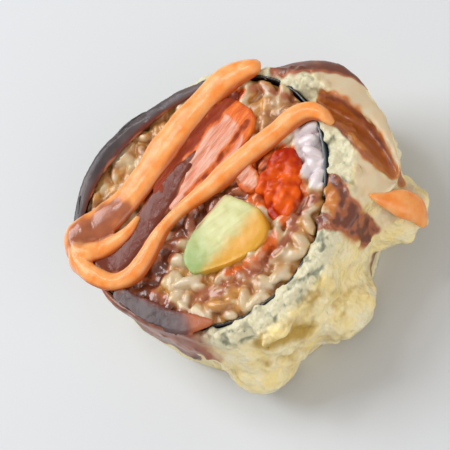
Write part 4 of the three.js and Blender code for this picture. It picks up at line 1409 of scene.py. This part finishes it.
class SUSHI_OT_stage(bpy.types.Operator):
    """Pale floor, soft lights and the camera"""

    bl_idname = "sushi.stage"
    bl_label = "Stage"

    def execute(self, context):
        nothing_selected()
        bpy.ops.mesh.primitive_plane_add(size=6, location=(0, 0, 0))
        floor = named("floor")
        surface = Finish("pale_floor", 0.5, Specular_IOR_Level=0.3)
        surface.base(context.scene.slice_colours.floor)
        floor.data.materials.append(surface.material)
        self.lights(context.scene)
        self.camera(context.scene)
        context.scene.view_settings.view_transform = "Standard"
        return {"FINISHED"}

    def lights(self, scene):
        world = bpy.data.worlds.new("pale_room")
        world.use_nodes = True
        scene.world = world
        background = world.node_tree.nodes["Background"]
        background.inputs["Color"].default_value = ROOM_LIGHT["tint"]
        background.inputs["Strength"].default_value = ROOM_LIGHT["strength"]
        for name, (azimuth, elevation, size, power, tint) in LIGHTS.items():
            data = bpy.data.lights.new(name, "AREA")
            data.shape = "DISK"
            data.size = size
            data.energy = power
            data.color = tint
            light = bpy.data.objects.new(name, data)
            scene.collection.objects.link(light)
            a, e = math.radians(azimuth), math.radians(elevation)
            back = Vector((math.sin(a) * math.cos(e), -math.cos(a) * math.cos(e), math.sin(e)))
            light.location = back * LIGHT_AWAY
            light.rotation_mode = "QUATERNION"
            light.rotation_quaternion = (-back).to_track_quat("-Z", "Y")

    def camera(self, scene):
        data = bpy.data.cameras.new("camera")
        data.lens = 200
        data.sensor_width = 36
        camera = bpy.data.objects.new("camera", data)
        scene.collection.objects.link(camera)
        tilt = math.radians(VIEW_ELEVATION)
        back = Vector((0, -math.cos(tilt), math.sin(tilt)))
        away = VIEW_WIDTH * data.lens / data.sensor_width
        camera.location = (Vector(VIEW_TARGET) + back * away) * MM
        camera.rotation_mode = "QUATERNION"
        lean = Quaternion((0, 0, 1), math.radians(VIEW_ROLL))
        camera.rotation_quaternion = (-back).to_track_quat("-Z", "Y") @ lean
        data.clip_start, data.clip_end = 0.01, 20
        scene.camera = camera


PIECES = (
    SUSHI_OT_batter_coat,
    SUSHI_OT_nori_sheet,
    SUSHI_OT_rice,
    SUSHI_OT_crab_sticks,
    SUSHI_OT_spicy_tuna,
    SUSHI_OT_avocado,
    SUSHI_OT_orange_sauce,
    SUSHI_OT_dark_sauce,
    SUSHI_OT_stage,
)


class SUSHI_PT_slice(bpy.types.Panel):
    """The slice's pieces and settings"""

    bl_label = "Sushi roll slice"
    bl_idname = "SUSHI_PT_slice"
    bl_space_type = "VIEW_3D"
    bl_region_type = "UI"
    bl_category = "Sushi"

    def draw(self, context):
        layout = self.layout
        for piece in PIECES:
            layout.operator(piece.bl_idname)
        for settings in (context.scene.slice_sizes, context.scene.slice_colours):
            box = layout.box()
            for name in settings.__annotations__:
                box.prop(settings, name)


CLASSES = (SliceSizes, SliceColours, *PIECES, SUSHI_PT_slice)


def register():
    for cls in CLASSES:
        bpy.utils.register_class(cls)
    bpy.types.Scene.slice_sizes = PointerProperty(type=SliceSizes)
    bpy.types.Scene.slice_colours = PointerProperty(type=SliceColours)


def unregister():
    del bpy.types.Scene.slice_colours
    del bpy.types.Scene.slice_sizes
    for cls in reversed(CLASSES):
        bpy.utils.unregister_class(cls)


def main():
    register()
    for piece in PIECES:
        family, name = piece.bl_idname.split(".")
        getattr(getattr(bpy.ops, family), name)()


if __name__ == "__main__":
    main()
